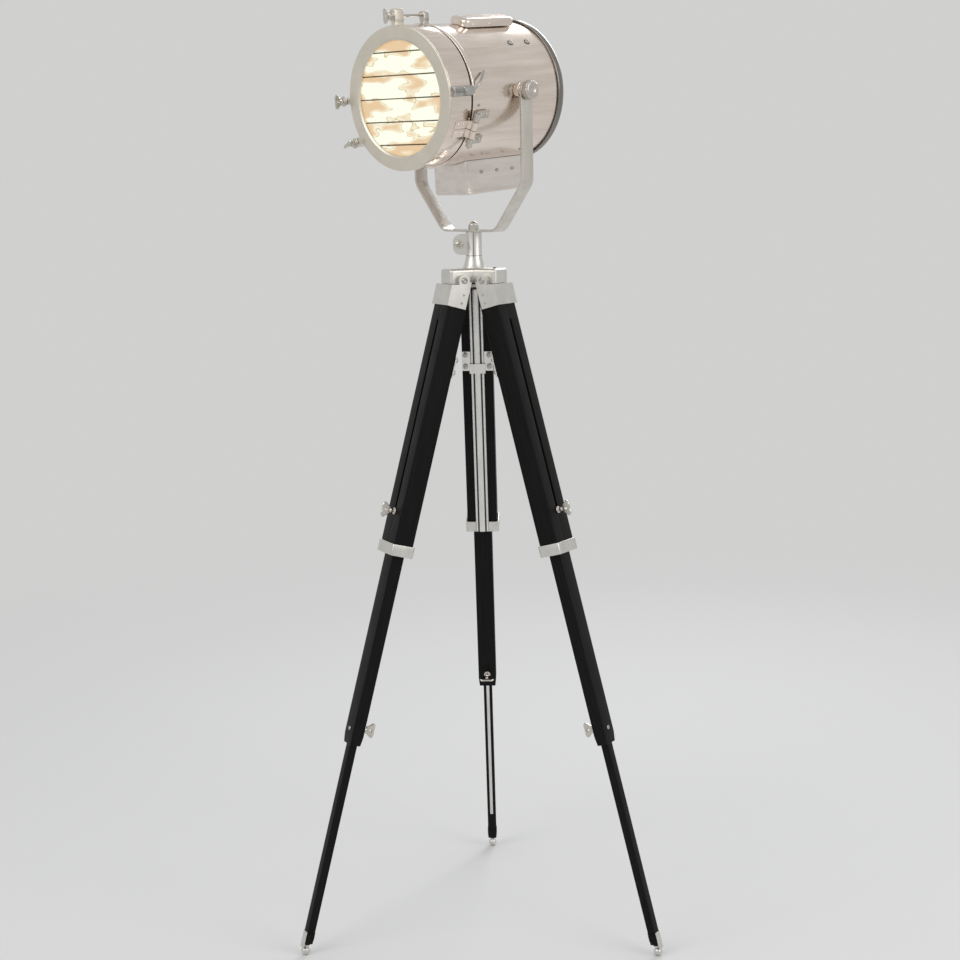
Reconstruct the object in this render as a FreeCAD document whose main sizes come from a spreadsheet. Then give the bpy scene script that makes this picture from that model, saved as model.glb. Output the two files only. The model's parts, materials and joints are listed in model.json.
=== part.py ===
import FreeCAD, Part
import Sketcher
import os
import re

# Tripod spotlight floor lamp. Millimetres, +Z up, origin on the floor under the tripod head's axis.
# The rear leg points along +Y; the lamp faces the front left.

os.makedirs("parts", exist_ok=True)
doc = FreeCAD.newDocument("spotlight_lamp")
sheet = doc.addObject("Spreadsheet::Sheet", "sizes")

# Driving dimensions: one named value each.
SIZES = [
    # running and seating clearances
    ("seat_gap", 0.3),
    ("slide_gap", 0.3),
    ("pin_gap", 0.05),
    ("glue_gap", 0.2),
    # tripod stance
    ("leg_angle", 15.5),
    ("hinge_radius", 34),
    ("upper_reach", 469),
    ("middle_reach", 344),
    ("lower_reach", 367),
    # upper leg, a box of black wood with a long slot in its outer face
    ("upper_width", 54),
    ("upper_depth", 36),
    ("upper_top", 20),
    ("slot_width", 6),
    ("slot_end_room", 4),
    # middle and lower legs
    ("middle_width", 33),
    ("middle_depth", 22),
    ("middle_hidden", 75),
    ("middle_travel", 290),
    ("lower_width", 16),
    ("lower_depth", 14),
    ("lower_hidden", 60),
    ("lower_travel", 270),
    ("cavity_room", 12),
    # metal shoe at the top of each leg
    ("cap_width", 60),
    ("cap_outer", 21),
    ("cap_inner", 14),
    ("cap_bottom", 47),
    ("cap_top", 7),
    ("cheek_radius", 10),
    ("cheek_outer", 8),
    ("tongue_width", 40),
    # tripod head casting
    ("tongue_outer", 21),
    ("tongue_height", 19),
    ("tongue_drop", 5),
    ("tongue_rounding", 5),
    ("stop_gap", 0.8),
    ("hub_radius", 23),
    ("hinge_bolt_radius", 3),
    ("bolt_head_radius", 5.5),
    ("bolt_head_height", 3),
    ("post_radius", 13.7),
    ("post_flare", 20),
    ("flare_height", 18),
    ("post_height", 43),
    ("ear_reach", 35),
    ("ear_thickness", 9),
    ("ear_height", 34),
    ("ear_drop", 4),
    ("ear_rounding", 12),
    ("ear_bolt_reach", 24),
    ("ear_slit", 2),
    ("clamp_span", 19),
    ("clamp_width", 11),
    ("clamp_bolt_radius", 3),
    # leg band, slide rail and its bracket
    ("band_height", 20),
    ("band_wall", 3),
    ("rail_base_width", 23),
    ("rail_base_depth", 1.6),
    ("rail_rib_width", 4),
    ("rail_rib_depth", 2.4),
    ("rail_core_width", 10),
    ("rail_core_depth", 3.4),
    ("rail_stand", 6),
    ("bracket_drop", 146),
    ("bracket_height", 36),
    ("bracket_wall", 2.4),
    ("bracket_bridge", 14),
    ("bracket_lip", 4),
    ("bracket_screw_radius", 3.6),
    ("bracket_screw_height", 3.6),
    ("bracket_screw_spacing", 42),
    # wing screws that lock the legs
    ("wing_span", 28),
    ("wing_width", 17),
    ("wing_waist", 9),
    ("wing_rounding", 4),
    ("wing_plate", 3.6),
    ("wing_collar_radius", 4.2),
    ("wing_collar", 8),
    ("wing_shank_radius", 2.5),
    ("knob_overlap", 12),
    ("knob_bite", 6),
    ("clamp_rise", 27),
    ("strip_width", 8),
    ("strip_depth", 1.5),
    ("strip_length", 356),
    # feet
    ("ferrule_wall", 1.4),
    ("ferrule_height", 24),
    ("ball_radius", 7.5),
    ("neck_radius", 4.5),
    # yoke
    ("pivot_height", 231),
    ("yoke_room", 7),
    ("yoke_strap", 28),
    ("yoke_thickness", 4),
    ("yoke_straight", 150),
    ("yoke_foot_half", 62),
    ("stud_radius", 6),
    ("stud_depth", 34),
    ("nut_radius", 9),
    ("nut_height", 7),
    ("dome_radius", 7),
    ("pivot_radius", 4),
    ("knob_radius", 16),
    ("knob_length", 14),
    ("knob_rounding", 2),
    ("boss_radius", 15),
    # lamp head
    ("facing_angle", 41),
    ("nose_angle", 4),
    ("barrel_radius", 115),
    ("barrel_wall", 2),
    ("barrel_front", 117),
    ("barrel_back", 100),
    ("bead_stand", 2),
    ("bead_length", 5),
    ("rim_stand", 3),
    ("rim_length", 11),
    ("dome_depth", 24),
    ("dome_flat_radius", 48),
    ("cap_wall", 2),
    ("cap_shoulder", 6),
    ("cap_step", 5),
    ("door_stand", 1),
    ("door_depth", 53),
    ("door_plate", 4),
    ("door_wall", 2.5),
    ("door_face", 24),
    ("glass_lap", 8),
    ("glass_thickness", 3),
    ("bar_spacing", 37),
    ("bar_thickness", 1.6),
    ("bar_depth", 5),
    ("bar_count", 5),
    ("vent_angle", 15),
    ("vent_length", 118),
    ("vent_width", 40),
    ("vent_rise", 13),
    ("vent_sink", 1),
    ("vent_gap", 1.2),
    ("vent_wall", 3),
    ("vent_centre", -4),
    ("vent_rounding", 5),
    ("vent_open_length", 80),
    ("vent_open_width", 20),
    ("vent_foot", 12),
    ("box_length", 152),
    ("box_half", 37),
    ("box_drop", 50),
    ("box_tuck", 24),
    ("box_centre", -11.5),
    ("box_wall", 2),
    ("box_rounding", 6),
    # door hinge and screws
    ("hinge_angle", 117),
    ("hinge_stand", 9),
    ("knuckle_radius", 5.5),
    ("knuckle_length", 14),
    ("hinge_length", 58),
    ("leaf_reach", 36),
    ("hinge_pin_radius", 2.5),
    ("lug_size", 12),
    ("lug_length", 20),
    ("lug_setback", 12),
    ("lug_stand", 13),
    ("lug_bite", 6),
    ("lug_clearance", 0.6),
    ("side_latch_angle", 90),
    ("low_latch_angle", 122),
    ("door_wing_span", 26),
    ("door_wing_width", 12),
    ("catch_radius", 7.5),
    ("catch_length", 46),
    ("catch_stand", 2),
    # light source
    ("reflector_radius", 100),
    ("reflector_mouth", 84),
    ("reflector_back", 62),
    ("reflector_wall", 1.2),
    ("socket_radius", 18),
    ("socket_length", 44),
    ("socket_back", 84),
    ("socket_wall", 2),
    ("bulb_radius", 30),
    ("bulb_reach", 70),
    ("bulb_cap_radius", 13),
    ("bracket_arm_width", 22),
    ("bracket_arm_wall", 2),
    ("gland_radius", 9),
    ("gland_length", 18),
    ("gland_bore", 3.5),
    # small screws
    ("screw_radius", 3.2),
    ("screw_height", 2),
    ("front_screw_place", 11),
    ("rear_screw_place", 52),
    ("screw_angle", 48),
    ("box_screw_drop", 14),
]
for row, (alias, number) in enumerate(SIZES, start=1):
    sheet.set("A%d" % row, alias)
    sheet.set("B%d" % row, str(number))
    sheet.setAlias("B%d" % row, alias)
doc.recompute()

ALIASES = set(alias for alias, number in SIZES)
WORD = re.compile(r"[a-z_]+")

# Lengths that follow from the sizes, so that the head's pieces fit one another at any barrel radius.
FITS = {
    "bead_radius": "(barrel_radius + bead_stand)",
    "rim_radius": "(barrel_radius + rim_stand)",
    "door_radius": "(barrel_radius + door_stand)",
    "glass_opening": "(door_radius - door_face)",
    "glass_radius": "(glass_opening + glass_lap)",
    "yoke_half": "(barrel_radius + yoke_room)",
    "box_bottom": "(barrel_radius + box_drop)",
    "box_top": "(barrel_radius - box_tuck)",
    "lug_reach": "(bead_radius + lug_stand)",
}


def bound(text):
    """Turn the names in a formula into references to the sheet's cells."""
    def swap(found):
        word = found.group()
        if word in FITS:
            return bound(FITS[word])
        return "sizes." + word if word in ALIASES else word

    return WORD.sub(swap, text)


def value(text):
    """Work a formula out as a plain number."""
    return float(sheet.evalExpression(bound(text)))


def tie(item, formulas):
    """Bind properties of an object to formulas."""
    for name, formula in formulas.items():
        item.setExpression(name, bound(formula))


def box(name, x, y, z):
    """Block between pairs of planes; each pair is (low, high)."""
    item = doc.addObject("Part::Box", name)
    tie(item, {"Length": "(%s)-(%s)" % (x[1], x[0]), "Width": "(%s)-(%s)" % (y[1], y[0])})
    tie(item, {"Height": "(%s)-(%s)" % (z[1], z[0]), ".Placement.Base.x": x[0]})
    tie(item, {".Placement.Base.y": y[0], ".Placement.Base.z": z[0]})
    return item


TURNS = {
    "x": FreeCAD.Rotation(FreeCAD.Vector(0, 1, 0), 90),
    "y": FreeCAD.Rotation(FreeCAD.Vector(1, 0, 0), -90),
    "z": FreeCAD.Rotation(),
}


def rod(name, radius, start, length, along):
    """Cylinder from a start point along +X, +Y or +Z."""
    item = doc.addObject("Part::Cylinder", name)
    item.Placement = FreeCAD.Placement(FreeCAD.Vector(), TURNS[along])
    tie(item, {"Radius": radius, "Height": length})
    tie(item, {".Placement.Base.x": start[0], ".Placement.Base.y": start[1], ".Placement.Base.z": start[2]})
    return item


def ball(name, radius, centre):
    """Sphere about a centre."""
    item = doc.addObject("Part::Sphere", name)
    tie(item, {"Radius": radius, ".Placement.Base.x": centre[0]})
    tie(item, {".Placement.Base.y": centre[1], ".Placement.Base.z": centre[2]})
    return item


def fuse(name, items):
    """One solid from several."""
    item = doc.addObject("Part::MultiFuse", name)
    item.Shapes = items
    item.Refine = True
    return item


def cut(name, base, tools):
    """Base with the tools taken away."""
    item = doc.addObject("Part::Cut", name)
    item.Base = base
    item.Tool = tools[0] if len(tools) == 1 else fuse(name + "_tools", tools)
    item.Refine = True
    return item


def common(name, first, second):
    """What two solids share."""
    item = doc.addObject("Part::Common", name)
    item.Base = first
    item.Tool = second
    item.Refine = True
    return item


def group(name, items):
    """Separate solids kept in one piece."""
    item = doc.addObject("Part::Compound", name)
    item.Links = items
    return item


def outline(body, name, role, points):
    """Closed sketch of straight lines whose corners are bound to formulas."""
    plane = [item for item in body.Origin.OriginFeatures if item.Role == role][0]
    sketch = body.newObject("Sketcher::SketchObject", name)
    sketch.AttachmentSupport = [(plane, "")]
    sketch.MapMode = "FlatFace"
    spots = [FreeCAD.Vector(value(a), value(b), 0) for a, b in points]
    count = len(spots)
    for k in range(count):
        sketch.addGeometry(Part.LineSegment(spots[k], spots[(k + 1) % count]), False)
    for k in range(count):
        sketch.addConstraint(Sketcher.Constraint("Coincident", k, 2, (k + 1) % count, 1))
    for k, (a, b) in enumerate(points):
        for kind, formula, number in (("DistanceX", a, spots[k].x), ("DistanceY", b, spots[k].y)):
            index = sketch.addConstraint(Sketcher.Constraint(kind, -1, 1, k, 1, number))
            sketch.setExpression("Constraints[%d]" % index, bound(formula))
    return sketch


def lathe(name, role, axis, points):
    """Turned piece: an outline spun about its sketch's H_Axis or V_Axis."""
    body = doc.addObject("PartDesign::Body", name)
    sketch = outline(body, name + "_profile", role, points)
    turn = body.newObject("PartDesign::Revolution", name + "_turn")
    turn.Profile = sketch
    turn.ReferenceAxis = (sketch, [axis])
    turn.Angle = 360
    body.Tip = turn
    return body


def slab(name, role, points, length, both=True):
    """Outline padded square to its plane, to both sides of it by default."""
    body = doc.addObject("PartDesign::Body", name)
    sketch = outline(body, name + "_profile", role, points)
    pad = body.newObject("PartDesign::Pad", name + "_pad")
    pad.Profile = sketch
    pad.setExpression("Length", bound(length))
    if both:
        pad.SideType = "Symmetric"
    body.Tip = pad
    return body


def rounded(name, item, radius, wanted):
    """Fillet the edges that the test picks."""
    doc.recompute()
    fillet = doc.addObject("Part::Fillet", name)
    fillet.Base = item
    size = value(radius)
    fillet.Edges = [(k, size, size) for k, edge in enumerate(item.Shape.Edges, 1) if wanted(edge)]
    return fillet


PARALLEL = 0.001


def runs_along(edge, direction):
    """True where an edge is straight and parallel to a direction."""
    if len(edge.Vertexes) < 2 or edge.Curve.TypeId != "Part::GeomLine":
        return False
    return edge.tangentAt(edge.FirstParameter).cross(direction).Length < PARALLEL


PIECES = {}


def place(node, item, placement):
    """Name a finished piece and set it in the lamp."""
    if item.TypeId in ("Part::Box", "Part::Cylinder"):
        item = group(node + "_carrier", [item])
    item.Label = node
    item.Placement = placement.multiply(item.Placement)
    PIECES[node] = item


TOTAL_REACH = "(upper_reach + middle_reach + lower_reach)"
HINGE_HEIGHT = value(TOTAL_REACH + " * cos(leg_angle * 1 deg) + ball_radius")
UP = FreeCAD.Vector(0, 0, 1)
SIDEWAYS = FreeCAD.Vector(1, 0, 0)


def wing(name, shank_start, shank_length, collar_start, side, span, width, flat):
    """Wing screw along local Y: shank, collar and a fan-shaped plate. side is +1 or -1 along Y."""
    along = {1: "%s", -1: "-(%s)"}[side]
    low = {1: "%s", -1: "-(%s) - (%s)"}[side]
    shank_low = shank_start if side == 1 else low % (shank_start, shank_length)
    shank = rod(name + "_shank", "wing_shank_radius", ("0", shank_low, "0"), shank_length, "y")
    collar_low = collar_start if side == 1 else low % (collar_start, "wing_collar")
    collar = rod(name + "_collar", "wing_collar_radius", ("0", collar_low, "0"), "wing_collar", "y")
    half = "%s / 2" % span
    near = along % ("%s + wing_collar / 2" % collar_start)
    far = along % ("%s + wing_collar + %s" % (collar_start, width))
    corner = along % ("%s + wing_collar + %s - wing_rounding" % (collar_start, width))
    points = [
        (near, "-wing_waist / 2"), (near, "wing_waist / 2"),
        (corner, half), (far, half + " - wing_rounding"),
        (far, "wing_rounding - " + half), (corner, "-" + half)]
    if flat == "upright":
        plate = slab(name + "_plate", "YZ_Plane", points, "wing_plate")
    else:
        plate = slab(name + "_plate", "XY_Plane", [(b, a) for a, b in points], "wing_plate")
    return fuse(name, [shank, collar, plate])


def leg_frame(azimuth):
    """Leg frame: hinge at the origin, leg down local -Z, local +Y outward."""
    spin = FreeCAD.Rotation(UP, azimuth - 90)
    lean = FreeCAD.Rotation(SIDEWAYS, value("leg_angle"))
    hinge = spin.multVec(FreeCAD.Vector(0, value("hinge_radius"), HINGE_HEIGHT))
    return FreeCAD.Placement(hinge, spin.multiply(lean))


def build_leg(side, azimuth, upright_clamp):
    """One leg with its three sections, metal shoe, band, rail, wing screws and foot."""
    frame = leg_frame(azimuth)

    def tag(text):
        return text + "_" + side

    # Metal shoe: a block with a sloping shoulder, two cheeks for the hinge bolt and a pocket for the wood.
    slope = "tongue_drop + stop_gap + cap_outer * tan(leg_angle * 1 deg)"
    core = slab(tag("cap_core"), "YZ_Plane", [
        ("-cap_inner", "-cap_bottom"), ("cap_outer", "-cap_bottom"), ("cap_outer", "-(%s)" % slope),
        ("0", "-cap_top"), ("-cap_inner", "-cap_top")], "cap_width")
    cheek_wall = "(cap_width - tongue_width) / 2 - seat_gap"
    ears = []
    for sign, low in ((1, "tongue_width / 2 + seat_gap"), (-1, "-cap_width / 2")):
        ear = box(tag("cap_ear%d" % sign), (low, low + " + " + cheek_wall), ("-cap_inner", "cheek_outer"),
                  ("-cap_top - 1", "0"))
        eye = rod(tag("cap_eye%d" % sign), "cheek_radius", (low, "0", "0"), cheek_wall, "x")
        ears += [ear, eye]
    solid = fuse(tag("cap_solid"), [core] + ears)
    pocket = box(tag("cap_pocket"), ("-upper_width / 2 - glue_gap", "upper_width / 2 + glue_gap"),
                 ("-cap_inner - 1", "upper_depth / 2 + glue_gap"),
                 ("-cap_bottom - 1", "-upper_top + glue_gap"))
    hole = rod(tag("cap_hole"), "hinge_bolt_radius + pin_gap", ("-cap_width / 2 - 1", "0", "0"),
               "cap_width + 2", "x")
    place(tag("leg_cap"), cut(tag("leg_cap"), solid, [pocket, hole]), frame)

    # Upper leg: hollow black wood box with the slot that the upper wing screw runs in.
    bottom = "-upper_reach - band_height / 2"
    stick = box(tag("upper_stick"), ("-upper_width / 2", "upper_width / 2"),
                ("-upper_depth / 2", "upper_depth / 2"), (bottom, "-upper_top"))
    cavity = box(tag("upper_cavity"), ("-middle_width / 2 - slide_gap", "middle_width / 2 + slide_gap"),
                 ("-middle_depth / 2 - slide_gap", "middle_depth / 2 + slide_gap"),
                 (bottom + " - 1", "-upper_reach + middle_hidden + middle_travel + cavity_room"))
    knob_drop = "upper_reach - middle_hidden + knob_overlap"
    slot_low = "-(%s)" % knob_drop
    slot = box(tag("upper_slot"), ("-slot_width / 2", "slot_width / 2"), ("0", "upper_depth"),
               (slot_low + " - slot_end_room", slot_low + " + middle_travel + slot_end_room"))
    place(tag("upper_leg"), cut(tag("upper_leg"), stick, [cavity, slot]), frame)

    # Slide rail: a plate with one broad and two narrow ribs on the leg's inner face.
    face = "-upper_depth / 2"
    rail_span = ("-upper_reach - band_height / 2", "-upper_top + rail_stand")
    rail_parts = [box(tag("rail_base"), ("-rail_base_width / 2", "rail_base_width / 2"),
                      (face + " - rail_base_depth", face), rail_span)]
    rail_parts.append(box(tag("rail_core"), ("-rail_core_width / 2", "rail_core_width / 2"),
                          (face + " - rail_core_depth", face), rail_span))
    for sign in (1, -1):
        centre = "%d * (rail_base_width - rail_rib_width) / 2" % sign
        rail_parts.append(box(tag("rail_rib%d" % sign), (centre + " - rail_rib_width / 2",
                                                         centre + " + rail_rib_width / 2"),
                              (face + " - rail_rib_depth", face), rail_span))
    place(tag("slide_rail"), fuse(tag("slide_rail"), rail_parts), frame)

    # Rail bracket: a saddle across the inner face, over the rail, with two thumb screws.
    bracket_low = "-bracket_drop - bracket_height / 2"
    height = (bracket_low, "-bracket_drop + bracket_height / 2")
    saddle = box(tag("bracket_plate"), ("-upper_width / 2", "upper_width / 2"),
                 (face + " - bracket_wall", face), height)
    bridge = box(tag("bracket_bridge_block"),
                 ("-rail_base_width / 2 - bracket_wall", "rail_base_width / 2 + bracket_wall"),
                 (face + " - rail_core_depth - bracket_wall", face),
                 (bracket_low + " - bracket_lip", bracket_low + " + bracket_bridge"))
    tunnel = box(tag("bracket_tunnel"),
                 ("-rail_base_width / 2 - seat_gap", "rail_base_width / 2 + seat_gap"),
                 (face + " - rail_core_depth - seat_gap", "upper_depth"),
                 ("-bracket_drop - bracket_height", "-bracket_drop + bracket_height"))
    screws = []
    for sign in (1, -1):
        screws.append(rod(tag("bracket_screw%d" % sign), "bracket_screw_radius",
                          ("%d * bracket_screw_spacing / 2" % sign,
                           face + " - bracket_wall - bracket_screw_height",
                           "-bracket_drop - bracket_height / 4"),
                          "bracket_screw_height + bracket_wall", "y"))
    bracket_solid = fuse(tag("bracket_solid"), [saddle, bridge] + screws)
    place(tag("rail_bracket"), cut(tag("rail_bracket"), bracket_solid, [tunnel]), frame)

    # Leg band: a metal band round the bottom of the upper leg, with a gap for the rail.
    band_high = ("-upper_reach - band_height / 2", "-upper_reach + band_height / 2")
    band_out = box(tag("band_out"), ("-upper_width / 2 - band_wall", "upper_width / 2 + band_wall"),
                   ("-upper_depth / 2 - band_wall", "upper_depth / 2 + band_wall"), band_high)
    band_core = box(tag("band_core"), ("-upper_width / 2 - glue_gap", "upper_width / 2 + glue_gap"),
                    ("-upper_depth / 2 - glue_gap", "upper_depth / 2 + glue_gap"),
                    ("-upper_reach - band_height", "-upper_reach + band_height"))
    band_gap = box(tag("band_gap"), ("-rail_base_width / 2 - seat_gap", "rail_base_width / 2 + seat_gap"),
                   ("-upper_depth", "0"), ("-upper_reach - band_height", "-upper_reach + band_height"))
    place(tag("leg_band"), cut(tag("leg_band"), band_out, [band_core, band_gap]), frame)

    # Middle leg: a hollow black wood bar that slides inside the upper leg.
    end = "-(upper_reach + middle_reach)"
    bar = box(tag("middle_bar"), ("-middle_width / 2", "middle_width / 2"),
              ("-middle_depth / 2", "middle_depth / 2"), (end, "-upper_reach + middle_hidden"))
    hollow = box(tag("middle_hollow"), ("-lower_width / 2 - slide_gap", "lower_width / 2 + slide_gap"),
                 ("-lower_depth / 2 - slide_gap", "lower_depth / 2 + slide_gap"),
                 (end + " - 1", end + " + lower_hidden + lower_travel + cavity_room"))
    knob_bore = rod(tag("knob_bore"), "wing_shank_radius + pin_gap",
                    ("0", "middle_depth / 2 - knob_bite - 1", slot_low), "middle_depth", "y")
    clamp_height = end + " + clamp_rise"
    clamp_bore = rod(tag("clamp_bore"), "wing_shank_radius + pin_gap",
                     ("0", "-middle_depth", clamp_height), "middle_depth", "y")
    place(tag("middle_leg"), cut(tag("middle_leg"), bar, [hollow, knob_bore, clamp_bore]), frame)

    # Upper wing screw: through the slot into the middle leg.
    knob = wing(tag("slide_knob"), "middle_depth / 2 - knob_bite",
                "upper_depth / 2 - middle_depth / 2 + knob_bite + 2", "upper_depth / 2 + seat_gap", 1,
                "wing_span", "wing_width", "upright")
    rise = FreeCAD.Placement(FreeCAD.Vector(0, 0, value(slot_low)), FreeCAD.Rotation())
    place(tag("slide_knob"), knob, frame.multiply(rise))

    # Lower wing screw: through the middle leg's inner wall, its tip near the wear strip.
    clamp = wing(tag("clamp_knob"), "lower_depth / 2 + slide_gap + seat_gap",
                 "middle_depth / 2 - lower_depth / 2 - slide_gap - seat_gap + 2",
                 "middle_depth / 2 + seat_gap", -1, "wing_span", "wing_width", upright_clamp)
    drop = FreeCAD.Placement(FreeCAD.Vector(0, 0, value(clamp_height)), FreeCAD.Rotation())
    place(tag("clamp_knob"), clamp, frame.multiply(drop))

    # Lower leg: a solid black wood bar with a groove for the metal wear strip.
    top = end + " + lower_hidden"
    lower_end = "-%s + ball_radius" % TOTAL_REACH
    pole = box(tag("lower_pole"), ("-lower_width / 2", "lower_width / 2"),
               ("-lower_depth / 2", "lower_depth / 2"), (lower_end + " + 6", top))
    groove = box(tag("lower_groove"), ("-strip_width / 2 - glue_gap / 2", "strip_width / 2 + glue_gap / 2"),
                 ("-lower_depth", "-lower_depth / 2 + strip_depth + glue_gap / 2"),
                 (top + " - strip_length - glue_gap", top + " + 1"))
    place(tag("lower_leg"), cut(tag("lower_leg"), pole, [groove]), frame)
    strip = box(tag("wear_strip"), ("-strip_width / 2", "strip_width / 2"),
                ("-lower_depth / 2", "-lower_depth / 2 + strip_depth"), (top + " - strip_length", top))
    place(tag("wear_strip"), strip, frame)

    # Foot: a metal ferrule over the leg's end, a neck and a ball.
    shell = box(tag("foot_shell"), ("-lower_width / 2 - ferrule_wall - glue_gap",
                                    "lower_width / 2 + ferrule_wall + glue_gap"),
                ("-lower_depth / 2 - ferrule_wall - glue_gap", "lower_depth / 2 + ferrule_wall + glue_gap"),
                (lower_end + " + 3", lower_end + " + 3 + ferrule_height"))
    socket = box(tag("foot_socket"), ("-lower_width / 2 - glue_gap", "lower_width / 2 + glue_gap"),
                 ("-lower_depth / 2 - glue_gap", "lower_depth / 2 + glue_gap"),
                 (lower_end + " + 6 - glue_gap", lower_end + " + 6 + ferrule_height"))
    hollow_shell = cut(tag("foot_hollow"), shell, [socket])
    neck = rod(tag("foot_neck"), "neck_radius", ("0", "0", "-%s" % TOTAL_REACH), "ball_radius + 5", "z")
    tip = ball(tag("foot_ball"), "ball_radius", ("0", "0", "-%s" % TOTAL_REACH))
    place(tag("foot"), fuse(tag("foot"), [hollow_shell, neck, tip]), frame)


build_leg("left", 210, "upright")
build_leg("right", 330, "upright")
build_leg("rear", 90, "level")


# Tripod head: hub with three hinge tongues and a flared post that is split to grip the yoke's stud.
def build_tripod_head():
    """Casting and its bolts, built about the hinge height."""
    rise = FreeCAD.Placement(FreeCAD.Vector(0, 0, HINGE_HEIGHT), FreeCAD.Rotation())
    post_top = "tongue_height + flare_height + post_height"
    turned = lathe("head_turned", "XZ_Plane", "V_Axis", [
        ("0", "-tongue_drop"), ("hub_radius", "-tongue_drop"), ("hub_radius", "tongue_height - 2"),
        ("post_flare", "tongue_height"), ("post_flare - 3", "tongue_height + flare_height * 0.35"),
        ("post_radius", "tongue_height + flare_height"), ("post_radius", post_top), ("0", post_top)])
    solids = [turned]
    bores = []
    bolts = []
    for k in range(3):
        spin = FreeCAD.Placement(FreeCAD.Vector(), FreeCAD.Rotation(UP, 120 * k))
        tongue = box("tongue%d" % k, ("-tongue_width / 2", "tongue_width / 2"),
                     ("0", "hinge_radius + tongue_outer"), ("-tongue_drop", "tongue_height"))
        tongue.Visibility = False
        soft = rounded("tongue_soft%d" % k, tongue, "tongue_rounding", lambda edge: (
            edge.CenterOfMass.y > 1 and not edge.CenterOfMass.z < 0))
        soft.Placement = spin
        solids.append(soft)
        bore = rod("tongue_bore%d" % k, "hinge_bolt_radius + pin_gap",
                   ("-tongue_width / 2 - 1", "hinge_radius", "0"), "tongue_width + 2", "x")
        bore_turned = group("tongue_bore_turned%d" % k, [bore])
        bore_turned.Placement = spin
        bores.append(bore_turned)
        bolt = rod("hinge_bolt_rod%d" % k, "hinge_bolt_radius",
                   ("-cap_width / 2 - seat_gap - 1", "hinge_radius", "0"),
                   "cap_width + 2 * seat_gap + 2", "x")
        heads = []
        seat = "cap_width / 2 + seat_gap"
        for sign, low in ((1, seat), (-1, "-(%s) - bolt_head_height" % seat)):
            heads.append(rod("hinge_bolt_head%d_%d" % (k, sign), "bolt_head_radius",
                             (low, "hinge_radius", "0"), "bolt_head_height", "x"))
        whole = fuse("hinge_bolt%d" % k, [bolt] + heads)
        whole.Placement = spin
        bolts.append(whole)
    ear_high = post_top + " - ear_drop"
    ear_low = ear_high + " - ear_height"
    ear = box("clamp_ear", ("-ear_reach", "0"), ("-ear_thickness", "ear_thickness"), (ear_low, ear_high))
    ear_soft = rounded("clamp_ear_soft", ear, "ear_rounding", lambda edge: (
        runs_along(edge, FreeCAD.Vector(0, 1, 0)) and edge.CenterOfMass.x < -1))
    solids.append(ear_soft)
    stud_bore = rod("stud_bore", "stud_radius + pin_gap", ("0", "0", post_top + " - stud_depth - 1"),
                    "stud_depth + 3", "z")
    slit = box("clamp_slit", ("-ear_reach - 1", "0"), ("-ear_slit / 2", "ear_slit / 2"),
               (ear_low + " - 2", post_top + " + 1"))
    bolt_height = ear_low + " + ear_height / 2"
    bolt_place = "-ear_bolt_reach"
    clamp_bore = rod("head_clamp_bore", "clamp_bolt_radius + pin_gap", (bolt_place, "-ear_thickness - 1",
                     bolt_height), "2 * ear_thickness + 2", "y")
    casting = cut("tripod_head", fuse("head_solid", solids), bores + [stud_bore, slit, clamp_bore])
    place("tripod_head", casting, rise)
    place("hinge_bolts", group("hinge_bolts", bolts), rise)

    # Swivel clamp: a wing bolt through both ears with a round nut behind. ear_thickness is one ear's.
    body = wing("swivel_clamp", "-ear_thickness - 3", "2 * ear_thickness + 5", "ear_thickness + seat_gap",
                -1, "clamp_span", "clamp_width", "level")
    nut = rod("swivel_nut", "bolt_head_radius", ("0", "ear_thickness + seat_gap", "0"), "4", "y")
    stem = rod("swivel_stem", "clamp_bolt_radius", ("0", "-ear_thickness - 2", "0"),
               "2 * ear_thickness + 5", "y")
    spot = FreeCAD.Vector(value(bolt_place), 0, HINGE_HEIGHT + value(bolt_height))
    clamp = fuse("swivel_clamp_whole", [body, nut, stem])
    place("swivel_clamp", clamp, FreeCAD.Placement(spot, FreeCAD.Rotation()))


build_tripod_head()

POST_TOP = HINGE_HEIGHT + value("tongue_height + flare_height + post_height")
YOKE_BASE = POST_TOP + value("seat_gap")
PIVOT = FreeCAD.Vector(0, 0, YOKE_BASE + value("pivot_height"))
FACING = FreeCAD.Rotation(UP, -90 - value("facing_angle"))
YOKE_FRAME = FreeCAD.Placement(PIVOT, FACING)
NOSE = FreeCAD.Rotation(FreeCAD.Vector(0, 1, 0), value("nose_angle"))
HEAD_FRAME = FreeCAD.Placement(PIVOT, FACING.multiply(NOSE))


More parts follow.
